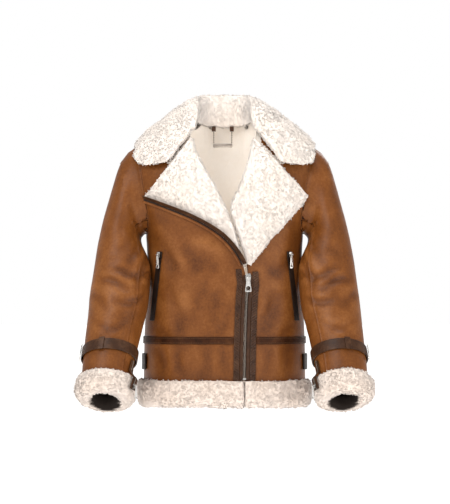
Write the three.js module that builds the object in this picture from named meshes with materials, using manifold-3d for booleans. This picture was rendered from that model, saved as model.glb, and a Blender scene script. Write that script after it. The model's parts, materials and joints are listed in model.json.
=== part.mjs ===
// Sheepskin flying jacket, filled out as it is worn, in millimetres, +Z up, front towards -Y.
// The origin is the middle of the shoulder line, between the two shoulder seams.
// The leather skins are walls on one torso form and one sleeve form. What lies on a skin is made from
// the skin's own points, moved out. "Right" and "left" are the wearer's: right is -X.
import * as THREE from 'three';
import { mergeVertices } from 'three/addons/utils/BufferGeometryUtils.js';
import Module from 'manifold-3d';

const wasm = await Module();
wasm.setup();

// Thicknesses and gaps
const WALL = 6;
const SEAM = 0.3;

// Colours and finishes
const FINISHES = {
  tan: { color: 0x8a4a1c, roughness: 0.5, metalness: 0 },
  brown: { color: 0x3b2014, roughness: 0.5, metalness: 0 },
  wool: { color: 0xeee3d6, roughness: 0.95, metalness: 0 },
  metal: { color: 0x9c9a97, roughness: 0.3, metalness: 1 },
};

// Torso sections: height, half width, depth in front and behind
const TORSO = [
  { z: -600, width: 181, front: 112, back: 108 },
  { z: -540, width: 179, front: 112, back: 108 },
  { z: -430, width: 177, front: 112, back: 107 },
  { z: -330, width: 171, front: 113, back: 108 },
  { z: -215, width: 174, front: 116, back: 112 },
  { z: -150, width: 190, front: 116, back: 114 },
  { z: -64, width: 212, front: 108, back: 112 },
  { z: 0, width: 226, front: 100, back: 108 },
  { z: 70, width: 236, front: 96, back: 104 },
];
const SQUARENESS = 2.5;

// Shoulder line, straight from the neck point to the shoulder point, and how far the front and back
// round over below it
const NECK_POINT = { x: 72, z: 33 };
const SHOULDER_POINT = { x: 199, z: -22 };
const SHOULDER_ROUND = { front: 150, back: 170 };

// Armhole: where its edge lies across the torso form, 1 at the side
const ARMHOLE = [
  { z: -215, front: 1, back: 1 },
  { z: -212, front: 0.9, back: 0.9 },
  { z: -206, front: 0.81, back: 0.81 },
  { z: -196, front: 0.745, back: 0.74 },
  { z: -176, front: 0.708, back: 0.695 },
  { z: -140, front: 0.685, back: 0.67 },
  { z: -100, front: 0.662, back: 0.65 },
  { z: -64, front: 0.648, back: 0.64 },
  { z: -40, front: 0.66, back: 0.655 },
  { z: -22, front: 0.688, back: 0.688 },
];
const ARMHOLE_BASE = -215;

// Front edges, right and left: the roll line of the lapel above the break, the zip line below it
const FRONT_EDGE = [
  { z: -545, right: 43, left: 43 },
  { z: -440, right: 45, left: 45 },
  { z: -360, right: 48, left: 48 },
  { z: -305, right: 51, left: 51 },
  { z: -251, right: 36, left: 38.5 },
  { z: -193, right: 19, left: 22.5 },
  { z: -161, right: 6, left: 11 },
  { z: -125, right: -12, left: 24 },
  { z: -87, right: -32, left: 40 },
  { z: -52, right: -53, left: 52 },
  { z: -21, right: -65, left: 57 },
  { z: 13, right: -70, left: 62 },
  { z: 40, right: -73, left: 68 },
];
const ZIP_TOP = -305;
const ZIP_HALF = 3.4;
const LAPEL_NOSE = 8;
const NOSE_RUN = 60;

// Cross seams and the hem
const WAIST_SEAM = -447;
const WAIST_STRIP = 16;
const HEM_TOP = -536;
const HEM_BOTTOM = -595;

const lerp = (a, b, t) => a + (b - a) * t;
const clamp = (v, low, high) => Math.min(high, Math.max(low, v));
const smooth = (t) => t * t * (3 - 2 * t);
const vec = (x, y, z) => new THREE.Vector3(x, y, z);

// Reads a column of a table at a place along its key column, on a smooth curve through the rows
function column(table, key, name, place) {
  const last = table.length - 1;
  const p = clamp(place, table[0][key], table[last][key]);
  let i = 0;
  while (i < last - 1 && p > table[i + 1][key]) i += 1;
  const gap = table[i + 1][key] - table[i][key];
  const slope = (k) => {
    const a = table[Math.max(0, k - 1)];
    const b = table[Math.min(last, k + 1)];
    return (b[name] - a[name]) / (b[key] - a[key]);
  };
  const t = (p - table[i][key]) / gap;
  const a = table[i][name];
  const b = table[i + 1][name];
  const rise = t * t * (3 - 2 * t);
  return a + (b - a) * rise + gap * (t * (1 - t) * ((1 - t) * slope(i) - t * slope(i + 1)));
}

const sideOf = (face) => (face < 0 ? 'front' : 'back');
const halfWidth = (z) => column(TORSO, 'z', 'width', z);
const depth = (face, z) => column(TORSO, 'z', sideOf(face), z);

function shoulderHeight(x) {
  const slope = (SHOULDER_POINT.z - NECK_POINT.z) / (SHOULDER_POINT.x - NECK_POINT.x);
  const out = Math.abs(x);
  if (out > NECK_POINT.x) return NECK_POINT.z + slope * (out - NECK_POINT.x);
  return NECK_POINT.z - slope * NECK_POINT.x / 2 * (1 - (out / NECK_POINT.x) ** 2);
}

// How much of its full depth the torso has at a height, rounding to nothing at the shoulder line
function fullness(face, x, z) {
  const t = clamp((shoulderHeight(x) - z) / SHOULDER_ROUND[sideOf(face)], 0, 1);
  return Math.sqrt(Math.max(0, 1 - (1 - t) ** 2));
}

// A point of the torso's outer form; across is -1 at the right side, 0 in the middle, 1 at the left side
function torsoAt(face, across, z) {
  const angle = clamp(Math.abs(across), 0, 1) * Math.PI / 2;
  const power = 2 / SQUARENESS;
  const x = Math.sign(across) * halfWidth(z) * Math.sin(angle) ** power;
  const y = face * depth(face, z) * Math.max(0, Math.cos(angle)) ** power * fullness(face, x, z);
  return vec(x, y, z);
}

// The same form by its x, for what lies on the front or back
function torsoFace(face, x, z) {
  const share = clamp(Math.abs(x) / halfWidth(z), 0, 1);
  const y = face * depth(face, z) * (1 - share ** SQUARENESS) ** (1 / SQUARENESS) * fullness(face, x, z);
  return vec(x, y, z);
}

function acrossOf(x, z) {
  const share = clamp(Math.abs(x) / halfWidth(z), 0, 1);
  return Math.sign(x) * Math.asin(share ** (SQUARENESS / 2)) * 2 / Math.PI;
}

// A place over the front or back skin: height is measured out along the skin's normal
function over(face, x, z, height) {
  const e = 0.5;
  const across = torsoFace(face, x + e, z).sub(torsoFace(face, x - e, z));
  const up = torsoFace(face, x, z + e).sub(torsoFace(face, x, z - e));
  const out = across.cross(up).normalize().multiplyScalar(-face);
  return torsoFace(face, x, z).addScaledVector(out, height);
}

// A closed solid from its corner points and faces, with its faces turned outwards
function solid(points, faces) {
  const volume = faces.reduce((sum, [a, b, c]) =>
    sum + points[a].dot(vec(0, 0, 0).crossVectors(points[b], points[c])) / 6, 0);
  const turned = volume < 0 ? faces.map(([a, b, c]) => [a, c, b]) : faces;
  const geometry = new THREE.BufferGeometry();
  geometry.setAttribute('position', new THREE.Float32BufferAttribute(points.flatMap((p) => p.toArray()), 3));
  geometry.setIndex(turned.flat());
  return geometry;
}

// A wall between an outer and an inner grid of points, closed along its borders
function wallBetween(outer, inner) {
  const rows = outer.length;
  const cols = outer[0].length;
  const count = rows * cols;
  const id = (i, j) => i * cols + j;
  const faces = [];
  const quad = (a, b, c, d) => faces.push([a, b, c], [a, c, d]);
  for (let i = 0; i < rows - 1; i += 1) {
    for (let j = 0; j < cols - 1; j += 1) {
      quad(id(i, j), id(i, j + 1), id(i + 1, j + 1), id(i + 1, j));
      quad(count + id(i, j), count + id(i + 1, j), count + id(i + 1, j + 1), count + id(i, j + 1));
    }
  }
  for (let j = 0; j < cols - 1; j += 1) {
    quad(id(0, j + 1), id(0, j), count + id(0, j), count + id(0, j + 1));
    quad(id(rows - 1, j), id(rows - 1, j + 1), count + id(rows - 1, j + 1), count + id(rows - 1, j));
  }
  for (let i = 0; i < rows - 1; i += 1) {
    quad(id(i, 0), id(i + 1, 0), count + id(i + 1, 0), count + id(i, 0));
    quad(id(i + 1, cols - 1), id(i, cols - 1), count + id(i, cols - 1), count + id(i + 1, cols - 1));
  }
  return solid([...outer.flat(), ...inner.flat()], faces);
}

// A solid through closed sections, capped at both ends
function loft(sections) {
  const sides = sections[0].length;
  const points = sections.flat();
  const faces = [];
  for (let i = 0; i < sections.length - 1; i += 1) {
    for (let j = 0; j < sides; j += 1) {
      const k = (j + 1) % sides;
      const a = i * sides;
      const b = a + sides;
      faces.push([a + j, a + k, b + k], [a + j, b + k, b + j]);
    }
  }
  const cap = (start, flip) => {
    const middle = points.length;
    points.push(sections[start].reduce((sum, p) => sum.add(p), vec(0, 0, 0)).divideScalar(sides));
    for (let j = 0; j < sides; j += 1) {
      const a = start * sides + j;
      const b = start * sides + (j + 1) % sides;
      faces.push(flip ? [middle, b, a] : [middle, a, b]);
    }
  };
  cap(0, true);
  cap(sections.length - 1, false);
  return solid(points, faces);
}

const mirrored = (grid) => grid.map((row) => row.map((p) => vec(-p.x, p.y, p.z)));
const span = (from, to, count) => Array.from({ length: count + 1 }, (_, i) => lerp(from, to, i / count));

const jacket = new THREE.Group();
function add(name, geometry, finish, place = null) {
  geometry.computeVertexNormals();
  const mesh = new THREE.Mesh(geometry, new THREE.MeshStandardMaterial(FINISHES[finish]));
  mesh.name = name;
  if (place) mesh.position.copy(place);
  jacket.add(mesh);
  return mesh;
}

// Torso skins. A row is a level from its inner edge to its side or armhole edge; above the level
// SHOULDER_ZONE rows fan out to the shoulder seam
const SHOULDER_ZONE = -100;
const ARMHOLE_ROWS = [-215, -210, -200, -184, -160, -130, -100];
const SHOULDER_ROWS = [0.36, 0.64, 0.84, 1];

function outerAcross(face, z) {
  if (z <= ARMHOLE_BASE) return 1;
  return column(ARMHOLE, 'z', sideOf(face), z);
}

// Keeps half a seam's gap from the plane where the front and back skins meet
function seated(face, p) {
  return Math.abs(p.y) < SEAM / 2 ? vec(p.x, face * SEAM / 2, p.z) : p;
}

// One skin row: inner(z) gives the x of its inner edge on this side, side is -1 right or 1 left
function skinRow(face, side, inner, z, rise, shares) {
  const zIn = lerp(z, NECK_POINT.z, rise);
  const zOut = lerp(z, SHOULDER_POINT.z, rise);
  const xIn = inner(zIn);
  const acrossIn = acrossOf(xIn, zIn);
  const acrossOut = side * outerAcross(face, zOut);
  const xEnd = side * halfWidth(zOut) * Math.sin(Math.abs(acrossOut) * Math.PI / 2) ** (2 / SQUARENESS);
  return shares.map((share) => {
    const zMid = lerp(zIn, zOut, share);
    const a = lerp(acrossIn, acrossOut, share);
    const x = share === 1 ? xEnd
      : Math.sign(a) * halfWidth(zMid) * Math.sin(Math.abs(a) * Math.PI / 2) ** (2 / SQUARENESS);
    const along = (x - xIn) / (xEnd - xIn);
    const zHere = lerp(zIn, zOut, along);
    return seated(face, torsoFace(face, x, rise > 0 ? Math.min(zHere, shoulderHeight(x)) : zHere));
  });
}

// Moves a grid's points in along its own normals; at a seam on the middle plane the wall goes straight in
const ON_MIDDLE = 0.5;
function inset(grid, distance, sign, seams = false) {
  return grid.map((row, i) => row.map((p, j) => {
    const left = row[Math.max(0, j - 1)];
    const right = row[Math.min(row.length - 1, j + 1)];
    const below = grid[Math.max(0, i - 1)][j];
    const above = grid[Math.min(grid.length - 1, i + 1)][j];
    const out = right.clone().sub(left).cross(above.clone().sub(below));
    if (Math.abs(p.y) < ON_MIDDLE && seams) out.y = 0;
    return p.clone().addScaledVector(out.normalize(), -distance * sign);
  }));
}

const COLUMNS_FRONT = span(0, 1, 10);
const LOWER_ROWS = span(HEM_TOP + SEAM, WAIST_SEAM - SEAM, 3);
const UPPER_ROWS = [...span(WAIST_SEAM + SEAM, -250, 6), -230];

function frontInner(side) {
  const name = side < 0 ? 'right' : 'left';
  return (z) => {
    const edge = column(FRONT_EDGE, 'z', name, z);
    const opened = smooth(clamp((z - ZIP_TOP) / NOSE_RUN, 0, 1));
    return edge + side * lerp(ZIP_HALF, LAPEL_NOSE, opened);
  };
}

function skin(face, side, inner, levels, rises) {
  const rows = [
    ...levels.map((z) => skinRow(face, side, inner, z, 0, COLUMNS_FRONT)),
    ...rises.map((rise) => skinRow(face, side, inner, SHOULDER_ZONE, rise, COLUMNS_FRONT)),
  ];
  return wallBetween(rows, inset(rows, WALL, side * -face, true));
}

for (const [name, side] of [['right', -1], ['left', 1]]) {
  const inner = frontInner(side);
  add(`front_upper_${name}`, skin(-1, side, inner, [...UPPER_ROWS, ...ARMHOLE_ROWS], SHOULDER_ROWS), 'tan');
  add(`front_lower_${name}`, skin(-1, side, inner, LOWER_ROWS, []), 'tan');
}

// Back skins, from the right side through the middle to the left, with the neckline at the top
const NECK_BACK = [
  { share: 0, x: 0, z: 22 },
  { share: 0.4, x: 30, z: 24 },
  { share: 0.75, x: 55, z: 28 },
  { share: 1, x: 72, z: 33 },
];
const BACK_NECK_SHARE = 0.36;
const BACK_SHARES = [...span(0, BACK_NECK_SHARE, 4), ...span(BACK_NECK_SHARE, 1, 7).slice(1)];

function backRow(z, rise) {
  const half = BACK_SHARES.map((share) => {
    const neckShare = clamp(share / BACK_NECK_SHARE, 0, 1);
    const zOut = lerp(z, SHOULDER_POINT.z, rise);
    const acrossOut = outerAcross(1, zOut);
    const xEnd = halfWidth(zOut) * Math.sin(acrossOut * Math.PI / 2) ** (2 / SQUARENESS);
    const level = halfWidth(z) * Math.sin(share * acrossOut * Math.PI / 2) ** (2 / SQUARENESS);
    const atNeck = share <= BACK_NECK_SHARE;
    const shoulderShare = (share - BACK_NECK_SHARE) / (1 - BACK_NECK_SHARE);
    const topX = atNeck ? column(NECK_BACK, 'share', 'x', neckShare)
      : lerp(NECK_POINT.x, SHOULDER_POINT.x, shoulderShare);
    const topZ = atNeck ? column(NECK_BACK, 'share', 'z', neckShare) : shoulderHeight(topX);
    const x = share === 1 ? xEnd : lerp(level, topX, rise * rise);
    const zHere = share === 1 ? zOut : lerp(z, topZ, rise);
    return seated(1, torsoFace(1, x, rise > 0 ? Math.min(zHere, shoulderHeight(x)) : zHere));
  });
  return [...mirrored([half])[0].reverse(), ...half.slice(1)];
}

function backSkin(levels, rises) {
  const rows = [...levels.map((z) => backRow(z, 0)), ...rises.map((rise) => backRow(SHOULDER_ZONE, rise))];
  return wallBetween(rows, inset(rows, WALL, -1, true));
}
add('back_upper', backSkin([...UPPER_ROWS, ...ARMHOLE_ROWS], SHOULDER_ROWS), 'tan');
add('back_lower', backSkin(LOWER_ROWS, []), 'tan');

// Sleeve sections of the right sleeve, seen from the front: outer and inner edge, then how far forward the
// middle lies, half the depth, and the forward lean of the section in degrees
const SLEEVE = [
  { t: 0, outX: -199, outZ: -22, inX: -176, inZ: -215, forward: 2, half: 56, lean: 0 },
  { t: 1, outX: -226, outZ: -42, inX: -182, inZ: -221, forward: 2, half: 60, lean: 0 },
  { t: 2, outX: -243, outZ: -90, inX: -184, inZ: -228, forward: 8, half: 64, lean: 4 },
  { t: 3, outX: -256, outZ: -138, inX: -182, inZ: -238, forward: 14, half: 66, lean: 8 },
  { t: 4, outX: -268, outZ: -183, inX: -176, inZ: -250, forward: 26, half: 67, lean: 12 },
  { t: 5, outX: -278, outZ: -228, inX: -167, inZ: -268, forward: 40, half: 67, lean: 16 },
  { t: 6, outX: -285, outZ: -268, inX: -161, inZ: -290, forward: 54, half: 67, lean: 19 },
  { t: 7, outX: -291, outZ: -305, inX: -161, inZ: -316, forward: 66, half: 66, lean: 21 },
  { t: 8, outX: -296, outZ: -338, inX: -163, inZ: -344, forward: 78, half: 65, lean: 22 },
  { t: 9, outX: -299, outZ: -370, inX: -166, inZ: -373, forward: 90, half: 64, lean: 24 },
  { t: 10, outX: -301, outZ: -402, inX: -174, inZ: -404, forward: 104, half: 62, lean: 26 },
  { t: 11, outX: -304, outZ: -432, inX: -182, inZ: -436, forward: 119, half: 60, lean: 27 },
  { t: 12, outX: -307, outZ: -462, inX: -189, inZ: -468, forward: 134, half: 59, lean: 28 },
  { t: 13, outX: -310, outZ: -495, inX: -196, inZ: -501, forward: 150, half: 58, lean: 28 },
  { t: 14, outX: -312, outZ: -530, inX: -201, inZ: -538, forward: 168, half: 57, lean: 28 },
];
const SLEEVE_END = 14;
const SLEEVE_WALL = 5;
const SLEEVE_CLEAR = 1.6;

// Largest folds of the sleeves: middle, angle and length along the sleeve, depth and width
const SLEEVE_FOLDS = [
  { t: 5.6, angle: 88, reach: 66, slant: 0.9, depth: 4.5, width: 0.55 },
  { t: 7.0, angle: 78, reach: 62, slant: -0.5, depth: 5, width: 0.5 },
  { t: 8.1, angle: 72, reach: 70, slant: 0.5, depth: 4, width: 0.5 },
  { t: 6.6, angle: -75, reach: 55, slant: 0.6, depth: 4.5, width: 0.55 },
  { t: 3.6, angle: 75, reach: 45, slant: 1.4, depth: 4, width: 0.6 },
  { t: 7.7, angle: 200, reach: 60, slant: 0.4, depth: 3, width: 0.6 },
];

function foldDepth(t, angle) {
  return SLEEVE_FOLDS.reduce((sum, fold) => {
    let off = (angle - fold.angle) % 360;
    if (off > 180) off -= 360;
    if (off < -180) off += 360;
    const along = off / fold.reach;
    if (Math.abs(along) >= 1) return sum;
    const across = (t - fold.t - fold.slant * along) / fold.width;
    return sum + fold.depth * (1 - along ** 2) ** 2 * Math.exp(-(across ** 2));
  }, 0);
}

const sleeveColumn = (name, t) => column(SLEEVE, 't', name, t);

// The middle of a sleeve section and the section's two half axes
function sleeveSection(side, t) {
  const lean = THREE.MathUtils.degToRad(sleeveColumn('lean', t));
  const out = vec(-side * sleeveColumn('outX', t), 0, sleeveColumn('outZ', t));
  const inside = vec(-side * sleeveColumn('inX', t), 0, sleeveColumn('inZ', t));
  const middle = out.clone().add(inside).multiplyScalar(0.5);
  middle.y = -sleeveColumn('forward', t);
  const outward = out.clone().sub(inside).multiplyScalar(0.5);
  const half = sleeveColumn('half', t);
  return { middle, outward, front: vec(0, -Math.cos(lean) * half, Math.sin(lean) * half) };
}

// Moves a place of the sleeve off the torso where the two press together
function clearOfTorso(p, gap) {
  if (p.z > ARMHOLE_BASE + 6) return p;
  const face = p.y < 0 ? -1 : 1;
  const deep = Math.abs(p.y) / (depth(face, p.z) + gap);
  if (deep >= 1) return p;
  const least = (halfWidth(p.z) + gap) * (1 - deep ** SQUARENESS) ** (1 / SQUARENESS);
  return Math.abs(p.x) < least ? vec(Math.sign(p.x) * least, p.y, p.z) : p;
}

// A place on the sleeve; angle is 0 at the inner side, 90 in front, 180 at the outer side
function onSleeve(side, t, angle, height) {
  const { middle, outward, front } = sleeveSection(side, t);
  const turn = THREE.MathUtils.degToRad(angle);
  const p = middle.clone().addScaledVector(outward, -Math.cos(turn)).addScaledVector(front, Math.sin(turn));
  const out = p.clone().sub(middle).normalize();
  p.addScaledVector(out, -foldDepth(t, angle));
  const clear = clearOfTorso(p, SLEEVE_CLEAR * clamp(t, 0, 1));
  return clear.addScaledVector(clear.clone().sub(middle).normalize(), height);
}

// The armhole's edge as the skins have it, from the underarm up the front and down the back
function armholeRing(side) {
  const inner = () => side * 60;
  const edge = (face) => [
    ...ARMHOLE_ROWS.map((z) => skinRow(face, side, inner, z, 0, [1])[0]),
    ...SHOULDER_ROWS.map((rise) => skinRow(face, side, inner, SHOULDER_ZONE, rise, [1])[0]),
  ];
  const front = edge(-1);
  const back = edge(1);
  const points = [...front.slice(1), ...back.slice(1, -1).reverse()];
  const lowest = front[0].clone().lerp(back[0], 0.5);
  return [lowest, ...points].map((p) => {
    const aside = clamp((p.z - ARMHOLE_BASE) / 25, 0, 1);
    return p.clone().add(vec(side * aside, 0, 1 - aside).setLength(2 * SEAM));
  });
}

// Angles of the sleeve's columns, by length along the armhole
function ringAngles(ring) {
  const steps = ring.map((p, i) => p.distanceTo(ring[(i + 1) % ring.length]));
  const total = steps.reduce((sum, step) => sum + step, 0);
  let run = 0;
  return steps.map((step) => {
    const angle = 360 * run / total;
    run += step;
    return angle;
  });
}

const SLEEVE_ROWS = [0.35, 0.8, 1.3, ...span(1.95, SLEEVE_END, 19)];
const UNDER_COLUMNS = 3;

function sleeveGrids(side) {
  const ring = armholeRing(side);
  const angles = ringAngles(ring);
  const middle = ring.reduce((sum, p) => sum.add(p), vec(0, 0, 0)).divideScalar(ring.length);
  const outer = [ring];
  const inner = [ring.map((p) => p.clone().addScaledVector(middle.clone().sub(p).normalize(), SLEEVE_WALL))];
  for (const t of SLEEVE_ROWS) {
    const blend = smooth(clamp(t / 1.3, 0, 1));
    const here = sleeveSection(side, t).middle.lerp(middle, 1 - blend);
    const row = angles.map((angle, k) => {
      const target = onSleeve(side, t, angle, 0);
      return clearOfTorso(ring[k].clone().lerp(target, blend), SLEEVE_CLEAR * clamp(t, 0, 1));
    });
    outer.push(row);
    inner.push(row.map((p) => p.clone().addScaledVector(here.clone().sub(p).normalize(), SLEEVE_WALL)));
  }
  return { outer, inner, angles };
}

// Takes some columns of a closed ring of columns, counted from a first one, and draws its two long edges in
function someColumns(grid, first, count) {
  const total = grid[0].length;
  return grid.map((row) => {
    const picked = Array.from({ length: count + 1 }, (_, i) => row[(first + i + total) % total].clone());
    const pull = (a, b) => a.addScaledVector(b.clone().sub(a).normalize(), SEAM / 2);
    pull(picked[0], picked[1]);
    pull(picked[count], picked[count - 1]);
    return picked;
  });
}

for (const [name, side] of [['right', -1], ['left', 1]]) {
  const { outer, inner, angles } = sleeveGrids(side);
  const upper = angles.length - 2 * UNDER_COLUMNS;
  const part = (first, count) =>
    wallBetween(someColumns(outer, first, count), someColumns(inner, first, count));
  add(`sleeve_upper_${name}`, part(UNDER_COLUMNS, upper), 'tan');
  add(`sleeve_under_${name}`, part(-UNDER_COLUMNS, 2 * UNDER_COLUMNS), 'tan');
}

// A strip that lies on the front between two lines; edge(z) gives the x that both offsets start from
function frontStrip(edge, from, to, zLow, zHigh, low, high, rows) {
  const line = (height) => span(zLow, zHigh, rows).map((z) =>
    [over(-1, edge(z) + from, z, height), over(-1, edge(z) + to, z, height)]);
  return wallBetween(line(high), line(low));
}

// Front zip, its lips and the gathered plackets beside them
const ON_SKIN = 0.5;
const LIP = { from: 3.6, to: 10.4, thick: 2.6, rows: 8 };
const PLACKET = { from: 11.6, to: 24, thick: 2, rows: 8 };
const ZIP_BOTTOM = HEM_TOP + 1.5;
const TAPE = { half: 3, low: 0.5, high: 2.4, rows: 8 };
const FRONT_SIDES = [
  { name: 'right', side: -1, placketTop: -291 },
  { name: 'left', side: 1, placketTop: -296 },
];
const zipLine = (z) => column(FRONT_EDGE, 'z', 'right', z);

const mainTape = frontStrip(
  zipLine, -TAPE.half, TAPE.half, ZIP_BOTTOM, ZIP_TOP, TAPE.low, TAPE.high, TAPE.rows,
);
add('main_zip', mainTape, 'metal');
for (const { name, side, placketTop } of FRONT_SIDES) {
  const piece = (size, high) => {
    const [from, to] = [side * size.from, side * size.to].sort((a, b) => a - b);
    return frontStrip(zipLine, from, to, ZIP_BOTTOM, high, ON_SKIN, ON_SKIN + size.thick, size.rows);
  };
  add(`zip_lip_${name}`, piece(LIP, ZIP_TOP + 2), 'brown');
  add(`placket_${name}`, piece(PLACKET, placketTop), 'brown');
}

// Waist strip over the cross seam
const STRIP = { thick: 2.4, columns: 10 };
const STRIP_END = 25.5;
function around(face, across, z, out) {
  const p = torsoAt(face, across, z);
  if (Math.abs(across) >= 1) return vec(p.x + Math.sign(across) * out, face * SEAM / 2, z);
  const e = 0.004;
  const run = torsoAt(face, Math.min(1, across + e), z).sub(torsoAt(face, Math.max(-1, across - e), z));
  const normal = vec(run.y, -run.x, 0).normalize().multiplyScalar(-face);
  return p.addScaledVector(normal, out);
}
function belt(face, from, to, columns) {
  const zs = [WAIST_SEAM - WAIST_STRIP / 2, WAIST_SEAM, WAIST_SEAM + WAIST_STRIP / 2];
  const grid = (out) => zs.map((z) => span(from, to, columns).map((a) => around(face, a, z, out)));
  return wallBetween(grid(ON_SKIN + STRIP.thick), grid(ON_SKIN));
}
const beltEnd = (x) => acrossOf(x, WAIST_SEAM);
const zipAtWaist = zipLine(WAIST_SEAM);
add('waist_strip_right', belt(-1, -1, beltEnd(zipAtWaist - STRIP_END), STRIP.columns), 'brown');
add('waist_strip_left', belt(-1, beltEnd(zipAtWaist + STRIP_END), 1, STRIP.columns), 'brown');
add('waist_strip_back', belt(1, 1, -1, 2 * STRIP.columns), 'brown');

// Hem band of wool: its profile as distance out from the torso form and height
const HEM_PROFILE = [
  { out: 0, z: -537 },
  { out: 8, z: -533 },
  { out: 13, z: -543 },
  { out: 14.5, z: -562 },
  { out: 12, z: -581 },
  { out: 4, z: -592 },
  { out: -6, z: HEM_BOTTOM },
  { out: -14, z: -589 },
  { out: -17, z: -566 },
  { out: -14, z: -543 },
];
function hemBand(face, from, to, columns) {
  return loft(span(from, to, columns).map((a) => HEM_PROFILE.map((row) => around(face, a, row.z, row.out))));
}
const hemEnd = (x) => acrossOf(x, HEM_TOP);
add('hem_front_right', hemBand(-1, -1, hemEnd(zipLine(HEM_TOP) - 1), 12), 'wool');
add('hem_front_left', hemBand(-1, hemEnd(zipLine(HEM_TOP) + 1), 1, 9), 'wool');
add('hem_back', hemBand(1, 1, -1, 20), 'wool');

// Lapels: roll edge from FRONT_EDGE, outer edge from these rows, bottom to top; place is the share
// of the way up
const LAPEL = {
  right: [
    { place: 0, rollZ: -290, x: 46, z: -292 },
    { place: 0.2, rollZ: -236, x: 30, z: -257 },
    { place: 0.42, rollZ: -172, x: -4, z: -217 },
    { place: 0.68, rollZ: -98, x: -62, z: -180 },
    { place: 0.92, rollZ: -28, x: -148, z: -143 },
    { place: 1, rollZ: -3, x: -173, z: -132 },
  ],
  left: [
    { place: 0, rollZ: -286, x: 54, z: -288 },
    { place: 0.2, rollZ: -232, x: 84, z: -248 },
    { place: 0.42, rollZ: -170, x: 122, z: -204 },
    { place: 0.68, rollZ: -96, x: 156, z: -165 },
    { place: 0.92, rollZ: -28, x: 173, z: -138 },
    { place: 1, rollZ: -3, x: 179, z: -128 },
  ],
};
const LAPEL_THICK = 13;
const LAPEL_LIFT = 1.8;
const ARMHOLE_NEAR = 150;
const OVER_SLEEVE = 14;
const OVER_SLEEVE_RUN = 40;
const NOSE_STEP = 2.6;
const NOSE_CLEAR = 1.9;
const TIP = { high: 3.5, noseHigh: 1.5, noseLow: -1.5, run: 0.12 };
const NOSE_LOW = -4;
const LAPEL_RIM = 5;
const LAPEL_ROWS = 12;
const LAPEL_SHARES = [0.2, 0.36, 0.52, 0.68, 0.82, 0.92, 1];

function lapelLine(name, place) {
  const rows = LAPEL[name];
  const rollZ = column(rows, 'place', 'rollZ', place);
  return {
    roll: vec(column(FRONT_EDGE, 'z', name, rollZ), 0, rollZ),
    outer: vec(column(rows, 'place', 'x', place), 0, column(rows, 'place', 'z', place)),
  };
}

// How much higher a lapel lies where the sleeve swells under it
function overSleeve(x) {
  const beyond = clamp((Math.abs(x) - ARMHOLE_NEAR) / OVER_SLEEVE_RUN, 0, 1.2);
  return OVER_SLEEVE * beyond ** 2;
}

function lapel(name, side) {
  const top = [];
  const under = [];
  for (const place of span(0.02, 1, LAPEL_ROWS)) {
    const { roll, outer } = lapelLine(name, place);
    const nose = (frontInner(side)(roll.z) - roll.x) * side;
    const width = roll.distanceTo(outer);
    const along = (share) => roll.clone().lerp(outer, share);
    const cells = [
      { share: 0, high: 2.5, low: -1.5 },
      { share: (nose - NOSE_STEP) / width * 0.4, high: LAPEL_THICK * 0.7, low: NOSE_LOW },
      { share: (nose - NOSE_STEP) / width, high: LAPEL_THICK * 0.92, low: NOSE_LOW },
      { share: (nose - NOSE_CLEAR) / width, high: LAPEL_THICK * 0.95, low: LAPEL_LIFT },
      ...LAPEL_SHARES.map((share) => ({
        share: lerp(nose / width, 1, share),
        high: lerp(LAPEL_RIM, LAPEL_THICK, 1 - share ** 4),
        low: LAPEL_LIFT,
      })),
    ];
    const grown = smooth(clamp(place / TIP.run, 0, 1));
    const at = (cell, height) => {
      const p = along(cell.share);
      return over(-1, p.x, p.z, height + overSleeve(p.x));
    };
    const high = (cell) => lerp(cell.low < 0 ? TIP.noseHigh : TIP.high, cell.high, grown);
    const low = (cell) => (cell.low < 0 ? lerp(TIP.noseLow, cell.low, grown) : cell.low);
    top.push(cells.map((cell) => at(cell, high(cell))));
    under.push(cells.map((cell) => at(cell, low(cell))));
  }
  return wallBetween(top, under);
}
add('lapel_right', lapel('right', -1), 'wool');
add('lapel_left', lapel('left', 1), 'wool');

// Band, open zip half and tan piping along the right lapel's outer edge: distance below the edge,
// and heights
const LAPEL_TRIM = [
  { name: 'lapel_band', from: -6.5, to: 1.5, rise: 10.5, low: 8.8, thick: 2, finish: 'brown' },
  { name: 'open_zip_right', from: 2, to: 4.6, rise: 0, low: 4, thick: 4, finish: 'metal' },
  { name: 'lapel_piping', from: 5, to: 10.5, rise: 0, low: 1.6, thick: 5, finish: 'tan' },
];
function trimPoint(place, distance, height) {
  const e = 0.01;
  const here = lapelLine('right', place).outer;
  const run = lapelLine('right', place + e).outer.sub(lapelLine('right', place - e).outer).normalize();
  const x = here.x - run.z * distance;
  return over(-1, x, here.z + run.x * distance, height + overSleeve(x));
}

for (const trim of LAPEL_TRIM) {
  const line = (height) => span(0.07, 0.985, 14).map((place) =>
    [trimPoint(place, trim.to, height), trimPoint(place, trim.from, height + trim.rise)]);
  add(trim.name, wallBetween(line(trim.low + trim.thick), line(trim.low)), trim.finish);
}

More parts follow.
